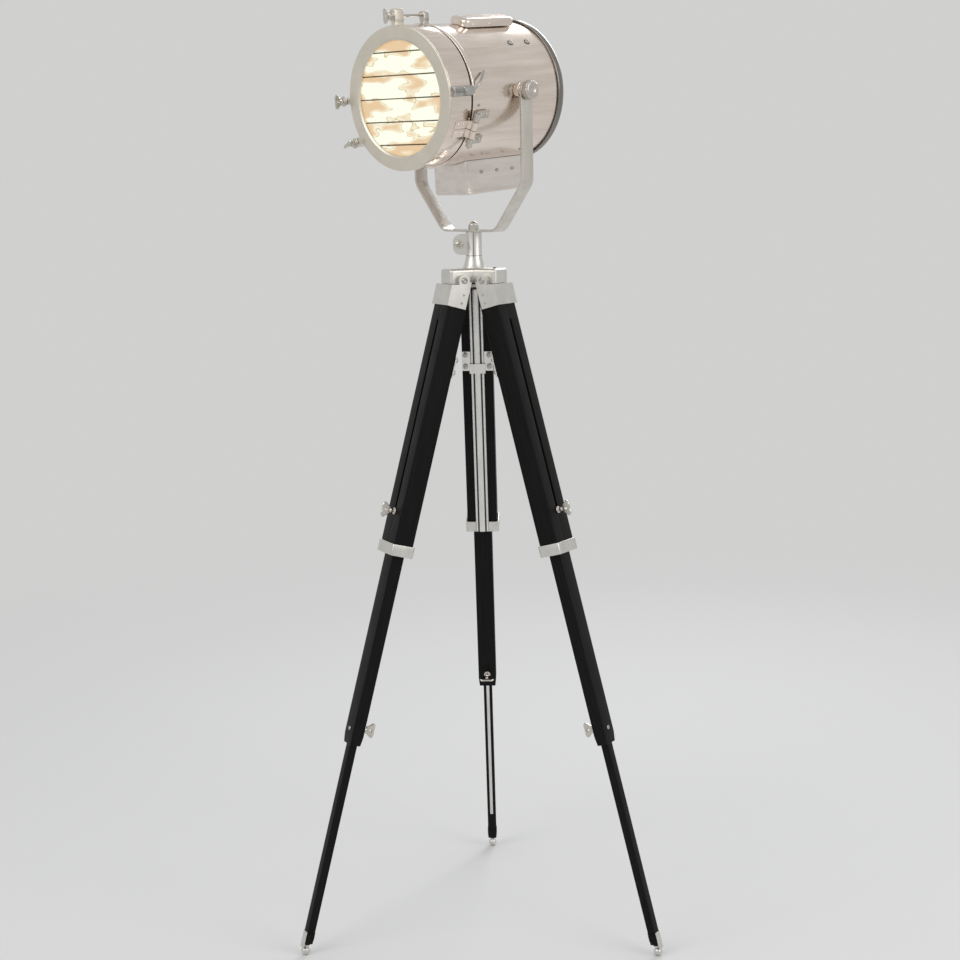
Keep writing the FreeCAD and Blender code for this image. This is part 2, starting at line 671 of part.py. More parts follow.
# Yoke: one flat strap bent to a U with slanted lower corners; pivots on local Y, strap width on local X.
def build_yoke():
    """Yoke strap, stud, nut and the two tilt knobs, about the pivot."""
    slant = "(yoke_half - yoke_foot_half)"
    drop = "(pivot_height - yoke_straight)"
    inset = "yoke_thickness * (sqrt(%s * %s + %s * %s) - %s) / %s" % (slant, slant, drop, drop, slant, drop)
    right = [
        ("yoke_foot_half", "-pivot_height"),
        ("yoke_half + yoke_thickness", "-yoke_straight"),
        ("yoke_half + yoke_thickness", "0"), ("yoke_half", "0"),
        ("yoke_half", "-yoke_straight"),
        ("yoke_foot_half - (%s)" % inset, "-pivot_height + yoke_thickness"),
    ]
    left = [("-(%s)" % a, b) for a, b in reversed(right)]
    strap = slab("yoke_strap_pad", "YZ_Plane", right + left, "yoke_strap")
    ends = []
    holes = []
    for sign, low in ((1, "yoke_half"), (-1, "-yoke_half - yoke_thickness")):
        ends.append(rod("yoke_end%d" % sign, "yoke_strap / 2", ("0", low, "0"), "yoke_thickness", "y"))
        holes.append(rod("yoke_hole%d" % sign, "pivot_radius + pin_gap", ("0", low + " - 1", "0"),
                         "yoke_thickness + 2", "y"))
    holes.append(rod("yoke_stud_hole", "stud_radius + pin_gap", ("0", "0", "-pivot_height - 1"),
                     "yoke_thickness + 2", "z"))
    place("yoke", cut("yoke", fuse("yoke_solid", [strap] + ends), holes), YOKE_FRAME)
    stud = rod("yoke_stud", "stud_radius", ("0", "0", "-pivot_height - stud_depth"),
               "stud_depth + yoke_thickness + nut_height", "z")
    place("yoke_stud", stud, YOKE_FRAME)
    nut_base = "-pivot_height + yoke_thickness"
    hexagon = doc.addObject("Part::Prism", "nut_hexagon")
    hexagon.Polygon = 6
    tie(hexagon, {"Circumradius": "nut_radius", "Height": "nut_height"})
    tie(hexagon, {".Placement.Base.z": nut_base})
    dome = ball("nut_dome", "dome_radius", ("0", "0", nut_base + " + nut_height"))
    nut_hole = rod("nut_hole", "stud_radius + pin_gap", ("0", "0", nut_base + " - 1"),
                   "nut_height + 1 + pin_gap", "z")
    place("yoke_nut", cut("yoke_nut", fuse("nut_solid", [hexagon, dome]), [nut_hole]), YOKE_FRAME)
    for side, sign in (("right", 1), ("left", -1)):
        face = "yoke_half + yoke_thickness + seat_gap"
        inner = "barrel_radius - barrel_wall + 1"
        head_low = face if sign == 1 else "-(%s) - knob_length" % face
        stem_low = inner if sign == 1 else "-(%s) - 1" % face
        head = rod("tilt_knob_head_" + side, "knob_radius", ("0", head_low, "0"), "knob_length", "y")
        soft = rounded("tilt_knob_soft_" + side, head, "knob_rounding", lambda edge: (
            edge.Curve.TypeId == "Part::GeomCircle"))
        stem = rod("tilt_knob_stem_" + side, "pivot_radius", ("0", stem_low, "0"),
                   "%s - (%s) + 1" % (face, inner), "y")
        place("tilt_knob_" + side, fuse("tilt_knob_" + side, [soft, stem]), HEAD_FRAME)


build_yoke()


def around(turn):
    """Frame on the barrel's side: local Z outward at a clock angle seen from the front, local X forward."""
    return FreeCAD.Placement(FreeCAD.Vector(), FreeCAD.Rotation(SIDEWAYS, -turn))


def turned_copy(name, item, turn):
    """The item swung round the barrel's axis."""
    carrier = group(name, [item])
    carrier.Placement = around(turn)
    return carrier


# How the plate of each door screw stands at rest: upright is along the barrel's radius.
DOOR_WINGS = ("upright", "level", "upright")


# Lamp head. Local +X points forward out of the lamp, +Y to the right seen from the front, +Z up.
def build_head():
    """Barrel, covers, door, hinge, screws and the light source."""
    tube = lathe("barrel_tube", "XZ_Plane", "H_Axis", [
        ("-barrel_back", "barrel_radius - barrel_wall"), ("barrel_front", "barrel_radius - barrel_wall"),
        ("barrel_front", "bead_radius"), ("barrel_front - bead_length", "bead_radius"),
        ("barrel_front - bead_length - 2", "barrel_radius"), ("-barrel_back", "barrel_radius")])
    bosses = []
    bores = []
    for sign, low in ((1, "barrel_radius - barrel_wall - 1"), (-1, "-yoke_half + seat_gap")):
        length = "yoke_half - seat_gap - barrel_radius + barrel_wall + 1"
        bosses.append(rod("boss%d" % sign, "boss_radius", ("0", low, "0"), length, "y"))
        bores.append(rod("boss_bore%d" % sign, "pivot_radius + pin_gap", ("0", low + " - 2", "0"),
                         length + " + 4", "y"))
    inside = rod("barrel_inside", "barrel_radius - barrel_wall", ("-barrel_back - 1", "0", "0"),
                 "barrel_back + barrel_front + 2", "x")
    boss_rings = cut("boss_rings", fuse("boss_pair", bosses), [inside])
    vent_hole = box("vent_hole",
                    ("vent_centre - vent_open_length / 2", "vent_centre + vent_open_length / 2"),
                    ("-vent_open_width / 2", "vent_open_width / 2"), ("0", "2 * barrel_radius"))
    vent_turned = turned_copy("vent_hole_turned", vent_hole, value("vent_angle"))
    barrel = cut("barrel", fuse("barrel_solid", [tube, boss_rings]), bores + [vent_turned])
    place("barrel", barrel, HEAD_FRAME)

    # Latch lugs: three drilled posts on the barrel that take the tips of the door's wing screws.
    latch_turns = (0, -value("side_latch_angle"), -value("low_latch_angle"))
    lugs = []
    lug_cuts = [rod("lug_trim", "barrel_radius + glue_gap", ("0", "0", "0"), "barrel_front + 1", "x")]
    lug_face = "barrel_front - lug_setback"
    for k, turn in enumerate(latch_turns):
        lug = box("lug%d" % k, (lug_face + " - lug_size", lug_face), ("-lug_size / 2", "lug_size / 2"),
                  ("barrel_radius - barrel_wall / 2", "lug_reach + lug_size / 2"))
        soft = rounded("lug_soft%d" % k, lug, "lug_size / 2 - 1", lambda edge: (
            runs_along(edge, SIDEWAYS) and edge.CenterOfMass.z > value("barrel_radius")))
        lugs.append(turned_copy("lug_turned%d" % k, soft, turn))
        hole = rod("lug_hole%d" % k, "wing_shank_radius + lug_clearance",
                   (lug_face + " - 2 * lug_size", "0", "lug_reach"), "3 * lug_size", "x")
        lug_cuts.append(turned_copy("lug_hole_turned%d" % k, hole, turn))
    place("latch_lugs", cut("latch_lugs", fuse("lug_group", lugs), lug_cuts), HEAD_FRAME)

    # Rear cap: a spun rim band and a shallow dome with a hole for the cable gland.
    rim_front = "-barrel_back + rim_length"
    shoulder = "-barrel_back - cap_shoulder"
    back = "-barrel_back - dome_depth"
    waist = "-barrel_back - dome_depth * 0.62"
    bore = "gland_radius * 0.6 + pin_gap"
    lip = "rim_radius - cap_step"
    cap = lathe("rear_cap_shell", "XZ_Plane", "H_Axis", [
        (rim_front, "barrel_radius + glue_gap"), (rim_front, "rim_radius"),
        ("-barrel_back - cap_wall", "rim_radius"), (shoulder, lip), (waist, "rim_radius * 0.78"),
        (back, "dome_flat_radius"), (back, bore), (back + " + cap_wall", bore),
        (back + " + cap_wall", "dome_flat_radius - cap_wall / 2"),
        (waist + " + cap_wall", "rim_radius * 0.78 - cap_wall / 2"),
        (shoulder + " + cap_wall", lip + " - cap_wall"), ("-barrel_back - glue_gap", lip + " - cap_wall"),
        ("-barrel_back - glue_gap", "barrel_radius + glue_gap")])
    place("rear_cap", cap, HEAD_FRAME)

    # Cable gland: hexagon flange, tapered nose and a thin neck through the cap.
    gland = lathe("cable_gland", "XZ_Plane", "H_Axis", [
        (back + " + cap_wall + 3", "gland_bore"), (back + " + cap_wall + 3", "gland_radius * 0.6 + 2"),
        (back + " + cap_wall + seat_gap / 2", "gland_radius * 0.6 + 2"),
        (back + " + cap_wall + seat_gap / 2", "gland_radius * 0.6"),
        (back + " - seat_gap / 2", "gland_radius * 0.6"),
        (back + " - seat_gap / 2", "gland_radius"), (back + " - gland_length / 2", "gland_radius"),
        (back + " - gland_length", "gland_radius * 0.7"), (back + " - gland_length", "gland_bore")])
    place("cable_gland", gland, HEAD_FRAME)

    # Vent cover: a long rounded hood on two feet over the slot in the barrel's top.
    vent_rear = "vent_centre - vent_length / 2"
    vent_front = "vent_centre + vent_length / 2"
    vent_top = "barrel_radius + vent_rise"
    hood = box("vent_hood", (vent_rear, vent_front), ("-vent_width / 2", "vent_width / 2"),
               ("barrel_radius - vent_sink", vent_top))
    hood_soft = rounded("vent_hood_soft", hood, "vent_rounding", lambda edge: (
        edge.CenterOfMass.z > value("barrel_radius + vent_gap")))
    scoop = box("vent_scoop", (vent_rear + " + vent_wall", vent_front + " - vent_wall"),
                ("-vent_width / 2 + vent_wall", "vent_width / 2 - vent_wall"),
                ("barrel_radius - 2 * vent_sink", vent_top + " - vent_wall"))
    barrel_room = rod("vent_barrel_room", "barrel_radius + vent_gap", ("-barrel_back", "0", "0"),
                      "barrel_back + barrel_front", "x")
    shell = cut("vent_shell", hood_soft, [scoop, barrel_room])
    feet = []
    for sign in (1, -1):
        middle = "vent_centre + %d * (vent_length / 2 - vent_foot)" % sign
        feet.append(box("vent_foot%d" % sign, (middle + " - vent_foot / 2", middle + " + vent_foot / 2"),
                        ("-vent_foot", "vent_foot"),
                        ("barrel_radius - vent_sink", vent_top + " - vent_wall / 2")))
    vent_trim = rod("vent_trim", "barrel_radius + glue_gap", ("-barrel_back", "0", "0"),
                    "barrel_back + barrel_front", "x")
    feet_trim = cut("vent_feet", fuse("vent_feet_pair", feet), [vent_trim])
    vent = fuse("vent_whole", [shell, feet_trim])
    place("vent_cover", turned_copy("vent_cover", vent, value("vent_angle")), HEAD_FRAME)

    # Base box: folded sheet box under the barrel, its top cut to the barrel's curve.
    box_rear = "box_centre - box_length / 2"
    box_front = "box_centre + box_length / 2"
    tub = box("box_block", (box_rear, box_front), ("-box_half", "box_half"), ("-box_bottom", "-box_top"))
    tub_soft = rounded("box_soft", tub, "box_rounding", lambda edge: (
        edge.CenterOfMass.z < -value("barrel_radius") and not runs_along(edge, UP)))
    room = box("box_room", (box_rear + " + box_wall", box_front + " - box_wall"),
               ("-box_half + box_wall", "box_half - box_wall"), ("-box_bottom + box_wall", "0"))
    barrel_way = rod("box_way", "barrel_radius + glue_gap", ("-2 * barrel_back", "0", "0"),
                     "4 * barrel_back", "x")
    place("base_box", cut("base_box", tub_soft, [room, barrel_way]), HEAD_FRAME)

    # Door: a deep ring with a flat front plate and three drilled lugs.
    back_face = "barrel_front + seat_gap"
    front = "barrel_front + door_depth"
    ring = lathe("door_shell", "XZ_Plane", "H_Axis", [
        (back_face, "door_radius - door_wall"), (back_face, "door_radius"), (front + " - 2", "door_radius"),
        (front, "door_radius - 2"), (front, "glass_opening"), (front + " - door_plate", "glass_opening"),
        (front + " - door_plate", "door_radius - door_wall")])
    door_lugs = []
    door_bores = []
    for k, turn in enumerate(latch_turns):
        lug = box("door_lug%d" % k, (front + " - lug_length", front), ("-lug_size / 2", "lug_size / 2"),
                  ("door_radius - door_wall / 2", "lug_reach + lug_size / 2"))
        soft = rounded("door_lug_soft%d" % k, lug, "lug_size / 2 - 1", lambda edge: (
            runs_along(edge, SIDEWAYS) and edge.CenterOfMass.z > value("door_radius")))
        door_lugs.append(turned_copy("door_lug_turned%d" % k, soft, turn))
        hole = rod("door_lug_hole%d" % k, "wing_shank_radius + pin_gap",
                   (front + " - 2 * lug_length", "0", "lug_reach"), "3 * lug_length", "x")
        door_bores.append(turned_copy("door_lug_hole_turned%d" % k, hole, turn))
    catch = rod("door_catch", "catch_radius", (front + " - door_depth / 2 - catch_length / 2", "0",
                                               "door_radius + catch_stand"), "catch_length", "x")
    door_lugs.append(turned_copy("door_catch_turned", catch, 90))

    # Door hinge: outer knuckles on the barrel, inner knuckles on the door, one pin.
    axis_out = "door_radius + hinge_stand"
    door_knuckles = []
    barrel_knuckles = []
    leaf_low = "sqrt(door_radius * door_radius - hinge_length * hinge_length / 4) - 0.5"
    for k in range(4):
        low = "-hinge_length / 2 + %d * (hinge_length - knuckle_length) / 3" % k
        span = (low + " + seat_gap / 2", low + " + knuckle_length - seat_gap / 2")
        length = "knuckle_length - seat_gap"
        knuckle = rod("knuckle%d" % k, "knuckle_radius", ("barrel_front", span[0], axis_out), length, "y")
        if k in (0, 3):
            arm = box("knuckle_arm%d" % k, ("barrel_front - leaf_reach", "barrel_front - 1"), span,
                      (leaf_low, axis_out + " + 1"))
            barrel_knuckles.append(fuse("knuckle_whole%d" % k, [knuckle, arm]))
        else:
            arm = box("knuckle_arm%d" % k, ("barrel_front + 1", "barrel_front + leaf_reach"), span,
                      (leaf_low, axis_out + " + 1"))
            door_knuckles.append(fuse("knuckle_whole%d" % k, [knuckle, arm]))
    pin_hole = rod("hinge_hole", "hinge_pin_radius + pin_gap", ("barrel_front", "-hinge_length", axis_out),
                   "2 * hinge_length", "y")
    at_hinge = value("hinge_angle")
    door_hole = turned_copy("door_hinge_hole", pin_hole, at_hinge)
    barrel_hole = turned_copy("barrel_hinge_hole", pin_hole, at_hinge)
    door_side = []
    for k, item in enumerate(door_knuckles):
        door_side.append(turned_copy("door_knuckle_turned%d" % k, item, at_hinge))
    barrel_side = []
    for k, item in enumerate(barrel_knuckles):
        barrel_side.append(turned_copy("barrel_knuckle_turned%d" % k, item, at_hinge))
    door_inside = rod("door_inside", "door_radius - door_wall", ("0", "0", "0"),
                      front + " - door_plate", "x")
    door_solid = fuse("door_solid", [ring] + door_lugs + door_side)
    place("door_ring", cut("door_ring", door_solid, door_bores + [door_hole, door_inside]), HEAD_FRAME)
    hinge_trim = rod("hinge_trim", "bead_radius + glue_gap", ("0", "0", "0"), "barrel_front + 1", "x")
    hinge_solid = fuse("door_hinge_solid", barrel_side)
    place("door_hinge", cut("door_hinge", hinge_solid, [barrel_hole, hinge_trim]), HEAD_FRAME)
    pin = rod("hinge_pin_rod", "hinge_pin_radius", ("barrel_front", "-hinge_length / 2 - 3", axis_out),
              "hinge_length + 6", "y")
    place("hinge_pin", turned_copy("hinge_pin", pin, at_hinge), HEAD_FRAME)

    # Wing screws of the door: head in front of the door's face, tip in the barrel's lug.
    shank_start = "barrel_front - lug_setback - lug_bite"
    shank_length = "door_depth + lug_setback + lug_bite + 2"
    outward = FreeCAD.Vector(0, 0, value("lug_reach"))
    for name, turn, flat in zip(("top", "side", "low"), latch_turns, DOOR_WINGS):
        screw = wing("door_screw_body_" + name, shank_start, shank_length, front + " + seat_gap", 1,
                     "door_wing_span", "door_wing_width", flat)
        forward = group("door_screw_forward_" + name, [screw])
        forward.Placement = FreeCAD.Placement(outward, FreeCAD.Rotation(UP, -90))
        place("door_screw_" + name, turned_copy("door_screw_" + name, forward, turn), HEAD_FRAME)

    # Front glass: a round pane in strips, parted by thin bars.
    pane_front = front + " - door_plate - seat_gap"
    pane = rod("pane", "glass_radius", (pane_front + " - glass_thickness", "0", "0"), "glass_thickness", "x")
    bar_disc = rod("bar_disc", "glass_radius", (pane_front + " - bar_depth", "0", "0"), "bar_depth", "x")
    bars = []
    gaps = []
    count = int(value("bar_count"))
    for k in range(count):
        height = "%s * bar_spacing" % (k - (count - 1) / 2)
        low = height + " - bar_thickness / 2"
        high = height + " + bar_thickness / 2"
        bars.append(box("bar%d" % k, ("0", "2 * barrel_front"), ("-glass_radius", "glass_radius"),
                        (low, high)))
        gaps.append(box("bar_gap%d" % k, ("0", "2 * barrel_front"), ("-glass_radius", "glass_radius"),
                        (low + " - seat_gap", high + " + seat_gap")))
    place("front_glass", cut("front_glass", pane, gaps), HEAD_FRAME)
    place("glass_bars", common("glass_bars", group("bar_group", bars), bar_disc), HEAD_FRAME)

    # Reflector: a spun bowl behind the bulb.
    centre = "-reflector_back + reflector_radius"
    outer = ball("bowl_outer", "reflector_radius", (centre, "0", "0"))
    inner = ball("bowl_inner", "reflector_radius - reflector_wall", (centre, "0", "0"))
    depth = "reflector_radius - sqrt(reflector_radius ^ 2 - reflector_mouth ^ 2)"
    keep = rod("bowl_keep", "reflector_mouth + 2", ("-reflector_back - 1", "0", "0"), depth + " + 1", "x")
    neck_hole = rod("bowl_hole", "socket_radius + pin_gap", ("-reflector_radius", "0", "0"),
                    "reflector_radius", "x")
    bowl = common("bowl", cut("bowl_shell", outer, [inner]), keep)
    place("reflector", cut("reflector", bowl, [neck_hole]), HEAD_FRAME)

    # Socket and its bracket: a strap across the barrel that carries socket and bowl.
    socket_out = rod("socket_out", "socket_radius", ("-socket_back", "0", "0"), "socket_length", "x")
    socket_in = rod("socket_in", "bulb_cap_radius + pin_gap", ("-socket_back + socket_wall + 4", "0", "0"),
                    "socket_length", "x")
    place("bulb_socket", cut("bulb_socket", socket_out, [socket_in]), HEAD_FRAME)
    arm_front = "-reflector_back - seat_gap"
    arm = box("arm", (arm_front + " - bracket_arm_wall", arm_front), ("-barrel_radius", "barrel_radius"),
              ("-bracket_arm_width / 2", "bracket_arm_width / 2"))
    flange = rod("arm_flange", "socket_radius + 8", (arm_front + " - bracket_arm_wall", "0", "0"),
                 "bracket_arm_wall", "x")
    tabs = []
    for sign, low in ((1, "barrel_radius - barrel_wall - 4"), (-1, "-barrel_radius + barrel_wall + 2")):
        tabs.append(box("arm_tab%d" % sign, (arm_front + " - 16", arm_front), (low, low + " + 2"),
                        ("-bracket_arm_width / 2", "bracket_arm_width / 2")))
    arm_whole = fuse("arm_whole", [arm, flange] + tabs)
    arm_hole = rod("arm_hole", "socket_radius + pin_gap", ("-socket_back", "0", "0"), "socket_length", "x")
    arm_limit = rod("arm_limit", "barrel_radius - barrel_wall - glue_gap", ("-barrel_back", "0", "0"),
                    "barrel_back", "x")
    arm_bored = cut("arm_bored", arm_whole, [arm_hole])
    place("socket_bracket", common("socket_bracket", arm_bored, arm_limit), HEAD_FRAME)

    # Bulb: round glass on a screw cap.
    cap_start = "-socket_back + socket_wall + 4 + seat_gap"
    mouth = "-socket_back + socket_length + seat_gap"
    bulb_cap = rod("bulb_cap", "bulb_cap_radius", (cap_start, "0", "0"),
                   "%s - (%s) + 1" % (mouth, cap_start), "x")
    bulb_centre = cap_start + " + bulb_reach"
    globe = ball("bulb_globe", "bulb_radius", (bulb_centre, "0", "0"))
    neck_end = bulb_centre + " - bulb_radius * sin(30 deg)"
    neck = lathe("bulb_neck", "XZ_Plane", "H_Axis", [
        (mouth, "0"), (mouth, "bulb_cap_radius - pin_gap"),
        (neck_end, "bulb_radius * cos(30 deg)"), (neck_end, "0")])
    place("bulb", fuse("bulb", [bulb_cap, globe, neck]), HEAD_FRAME)

    # Screws on the barrel's side and along the base box.
    screws = []
    for spot in ("front", "rear"):
        for sign in (1, -1):
            name = "%s_screw%d" % (spot, sign)
            head = rod(name, "screw_radius", ("-%s_screw_place" % spot, "0", "barrel_radius + pin_gap"),
                       "screw_height", "z")
            screws.append(turned_copy(name + "_turned", head, sign * value("screw_angle")))
    for sign in (1, -1):
        for k in range(3):
            along = "box_centre + %d * box_length / 4" % (k - 1)
            low = "box_half + pin_gap" if sign == 1 else "-box_half - pin_gap - screw_height"
            screws.append(rod("box_screw%d_%d" % (sign, k), "screw_radius",
                              (along, low, "-barrel_radius - box_screw_drop"), "screw_height", "y"))
    place("head_screws", group("head_screws", screws), HEAD_FRAME)


build_head()
doc.recompute()

# Every object must be sound before a file is written.
for item in doc.Objects:
    if "Invalid" in item.State or "Error" in item.State:
        raise RuntimeError("object failed: " + item.Name)
for node, item in PIECES.items():
    if item.Shape.isNull() or not item.Shape.isValid() or not item.Shape.Solids:
        raise RuntimeError("bad shape: " + node)
for node, item in PIECES.items():
    item.Shape.exportStep("parts/" + node + ".step")
    print(node, len(item.Shape.Solids), round(item.Shape.Volume / 1000, 1))
print("pieces", len(PIECES), "hinge height", round(HINGE_HEIGHT, 1), "pivot", round(PIVOT.z, 1))
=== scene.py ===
import json
import math

import bmesh
import bpy
import numpy as np
from mathutils import Matrix, Vector

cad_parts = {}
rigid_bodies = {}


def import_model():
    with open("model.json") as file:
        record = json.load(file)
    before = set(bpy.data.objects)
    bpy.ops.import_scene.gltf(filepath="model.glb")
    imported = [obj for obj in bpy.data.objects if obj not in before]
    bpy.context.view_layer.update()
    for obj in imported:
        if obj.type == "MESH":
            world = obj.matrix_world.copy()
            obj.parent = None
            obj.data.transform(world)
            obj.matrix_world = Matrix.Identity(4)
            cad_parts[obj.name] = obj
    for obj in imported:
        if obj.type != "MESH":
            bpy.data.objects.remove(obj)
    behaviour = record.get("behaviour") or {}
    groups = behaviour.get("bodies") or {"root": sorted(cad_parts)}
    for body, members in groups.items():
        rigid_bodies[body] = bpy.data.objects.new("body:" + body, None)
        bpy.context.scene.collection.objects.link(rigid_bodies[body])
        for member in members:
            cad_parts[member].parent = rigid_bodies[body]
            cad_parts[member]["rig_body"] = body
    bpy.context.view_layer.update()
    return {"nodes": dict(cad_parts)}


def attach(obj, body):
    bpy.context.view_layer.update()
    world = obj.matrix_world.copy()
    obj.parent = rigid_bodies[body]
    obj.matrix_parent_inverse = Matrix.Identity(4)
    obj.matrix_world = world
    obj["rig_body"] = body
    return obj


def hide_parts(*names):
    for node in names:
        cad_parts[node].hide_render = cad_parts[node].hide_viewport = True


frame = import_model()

# Studio. A pale floor that fades into a pale surround, soft panels overhead, in front and
# behind, and a camera at the height and angle of the photograph.
pale = (0.63, 0.63, 0.625, 1)
camera_spot = np.array([0.1567, -3.1851, 1.3328])
camera_yaw, camera_pitch, camera_roll = 2.75, 9.54, 0.98
camera_lens, camera_sensor = 69.8, 36
floor_reach, floor_sides, floor_clear, floor_gone = 14.0, 96, 0.9, 3.6


def rotation(axis, degrees):
    """Turn about one axis by the right-hand rule: cosine on the diagonal, sine off it."""
    c, s = math.cos(math.radians(degrees)), math.sin(math.radians(degrees))
    i, j = {"x": (1, 2), "y": (2, 0), "z": (0, 1)}[axis]
    matrix = np.eye(3)
    matrix[[i, j], [i, j]] = c
    matrix[i, j], matrix[j, i] = -s, s
    return matrix


def node_tree(owner):
    """Empty node tree of a material or world: its add and link calls."""
    owner.use_nodes = True
    owner.node_tree.nodes.clear()
    return owner.node_tree.nodes.new, owner.node_tree.links.new


def node(add, kind, values=None, **settings):
    """New shader node with its settings, then the constants of its unlinked inputs."""
    made = add("ShaderNode" + kind)
    for setting, value in settings.items():
        setattr(made, setting, value)
    for label, value in (values or {}).items():
        made.inputs[label].default_value = value
    return made


def seen_rays(add, link):
    """1 for rays from the camera, off metal or through glass: the largest of the three."""
    path = node(add, "LightPath")
    seen = path.outputs["Is Camera Ray"]
    for kind in ("Is Glossy Ray", "Is Transmission Ray"):
        larger = node(add, "Math", operation="MAXIMUM")
        link(seen, larger.inputs[0])
        link(path.outputs[kind], larger.inputs[1])
        seen = larger.outputs[0]
    return seen


def shared_out(add, link, share, first, second, output):
    """Output that runs from the first shader to the second with a share."""
    mix = node(add, "MixShader")
    link(share, mix.inputs[0])
    link(first.outputs[0], mix.inputs[1])
    link(second.outputs[0], mix.inputs[2])
    link(mix.outputs[0], node(add, output).inputs["Surface"])


world = bpy.data.worlds.new("studio")
bpy.context.scene.world = world
add, link = node_tree(world)
lighting = node(add, "Background", {"Color": (0.97, 0.98, 1, 1), "Strength": 0.60})
surround = node(add, "Background", {"Color": pale})
shared_out(add, link, seen_rays(add, link), lighting, surround, "OutputWorld")

angles = np.linspace(0, 2 * math.pi, floor_sides, endpoint=False)
rim = np.stack([np.cos(angles), np.sin(angles), np.zeros(floor_sides)], 1) * floor_reach
floor_mesh = bpy.data.meshes.new("floor")
floor_mesh.from_pydata(rim.tolist(), [], [list(range(floor_sides))])
floor = bpy.data.objects.new("floor", floor_mesh)
bpy.context.collection.objects.link(floor)
floor_finish = bpy.data.materials.new("floor_pale")
add, link = node_tree(floor_finish)
reach = node(add, "VectorMath", operation="LENGTH")
fade = node(add, "MapRange", {"From Min": floor_clear, "From Max": floor_gone},
            interpolation_type="SMOOTHSTEP")
link(node(add, "TexCoord").outputs["Object"], reach.inputs[0])
link(reach.outputs["Value"], fade.inputs["Value"])
ground = node(add, "BsdfPrincipled", {"Base Color": (0.75, 0.75, 0.745, 1), "Roughness": 0.8,
                                      "Specular IOR Level": 0.1})
glow = node(add, "Emission", {"Color": pale})
shared_out(add, link, fade.outputs[0], ground, glow, "OutputMaterial")
floor_mesh.materials.append(floor_finish)

for name, spot, aim, width, power, tint in (
        ("key_panel", (-2.3, -2.4, 3.1), (0, 0, 1.0), 2.6, 42, (1, 0.985, 0.96)),
        ("fill_panel", (2.9, -2.0, 2.5), (0, 0, 1.0), 2.4, 36, (1, 0.985, 0.97)),
        ("back_panel", (0.9, 2.8, 2.7), (0, 0, 1.1), 1.5, 34, (1, 1, 1))):
    panel = bpy.data.lights.new(name, "AREA")
    panel.size, panel.energy, panel.color = width, power, tint
    holder = bpy.data.objects.new(name, panel)
    towards = (Vector(aim) - Vector(spot)).to_track_quat("-Z", "Y")
    holder.matrix_world = Matrix.Translation(spot) @ towards.to_matrix().to_4x4()
    bpy.context.collection.objects.link(holder)

camera = bpy.data.objects.new("camera", bpy.data.cameras.new("camera"))
camera.data.lens, camera.data.sensor_width = camera_lens, camera_sensor
turn = rotation("z", camera_yaw) @ rotation("x", 90 - camera_pitch) @ rotation("z", -camera_roll)
placing = np.eye(4)
placing[:3, :3], placing[:3, 3] = turn, camera_spot
camera.matrix_world = Matrix(placing.tolist())
bpy.context.collection.objects.link(camera)
bpy.context.scene.camera = camera
bpy.context.scene.view_settings.view_transform = "Standard"

# Legs' place. Each leg hangs from a bolt in the tripod head and leans outward; its own frame
# has the bolt at the origin, the leg down -Z and its outer face towards +Y.
leg_lean, hinge_radius = 15.5, 0.034
upper_reach, middle_reach, lower_reach, ball_radius = 0.469, 0.344, 0.367, 0.0075
total_reach = upper_reach + middle_reach + lower_reach
hinge_height = total_reach * math.cos(math.radians(leg_lean)) + ball_radius
head_place = (np.eye(3), np.array([0, 0, hinge_height]))


def leg_place(azimuth):
    """Turn about the upright axis to the azimuth, then lean about the leg's own X axis."""
    spin = rotation("z", azimuth - 90)
    return spin @ rotation("x", leg_lean), spin @ np.array([0, hinge_radius, hinge_height])


leg_places = {"left": leg_place(210), "right": leg_place(330), "rear": leg_place(90)}


# Black wood of the leg sections: stained hardwood under a thin satin lacquer, with the
# grain along each leg. Two shades of near-black follow the grain, and the pores are sunk.
def stretched_noise():
    """Noise on coordinates scaled by Stretch, its contrast raised about the middle value."""
    group = bpy.data.node_groups.new("stretched_noise", "ShaderNodeTree")
    for label, kind, way in (("Vector", "Vector", "INPUT"), ("Stretch", "Vector", "INPUT"),
                             ("Contrast", "Float", "INPUT"), ("Detail", "Float", "INPUT"),
                             ("Mask", "Float", "OUTPUT")):
        group.interface.new_socket(label, in_out=way, socket_type="NodeSocket" + kind)
    add, link = group.nodes.new, group.links.new
    given, result = add("NodeGroupInput"), add("NodeGroupOutput")
    scaled = node(add, "VectorMath", operation="MULTIPLY")
    noise = node(add, "TexNoise", {"Scale": 1, "Roughness": 0.6})
    centred = node(add, "Math", {1: 0.5}, operation="SUBTRACT")
    spread = node(add, "Math", {2: 0.5}, operation="MULTIPLY_ADD", use_clamp=True)
    link(given.outputs["Detail"], noise.inputs["Detail"])
    link(given.outputs["Vector"], scaled.inputs[0])
    link(given.outputs["Stretch"], scaled.inputs[1])
    link(scaled.outputs[0], noise.inputs["Vector"])
    link(noise.outputs[0], centred.inputs[0])
    link(centred.outputs[0], spread.inputs[0])
    link(given.outputs["Contrast"], spread.inputs[1])
    link(spread.outputs[0], result.inputs["Mask"])
    return group


streaks = stretched_noise()
cloud_stretch, cloud_contrast = (17, 17, 17), 2.2


def masked(add, link, vector, stretch, contrast, detail=5):
    """One use of the stretched noise, as a mask socket."""
    use = node(add, "Group", {"Stretch": stretch, "Contrast": contrast, "Detail": detail},
               node_tree=streaks)
    link(vector, use.inputs["Vector"])
    return use.outputs["Mask"]


def own_space(add, link, place):
    """Object coordinates brought into a piece's frame: turned back, then shifted back."""
    matrix, origin = place
    mapping = node(add, "Mapping", {"Rotation": Matrix(matrix.T.tolist()).to_euler(),
                                    "Location": (-matrix.T @ origin).tolist()})
    link(node(add, "TexCoord").outputs["Object"], mapping.inputs["Vector"])
    return mapping.outputs["Vector"]


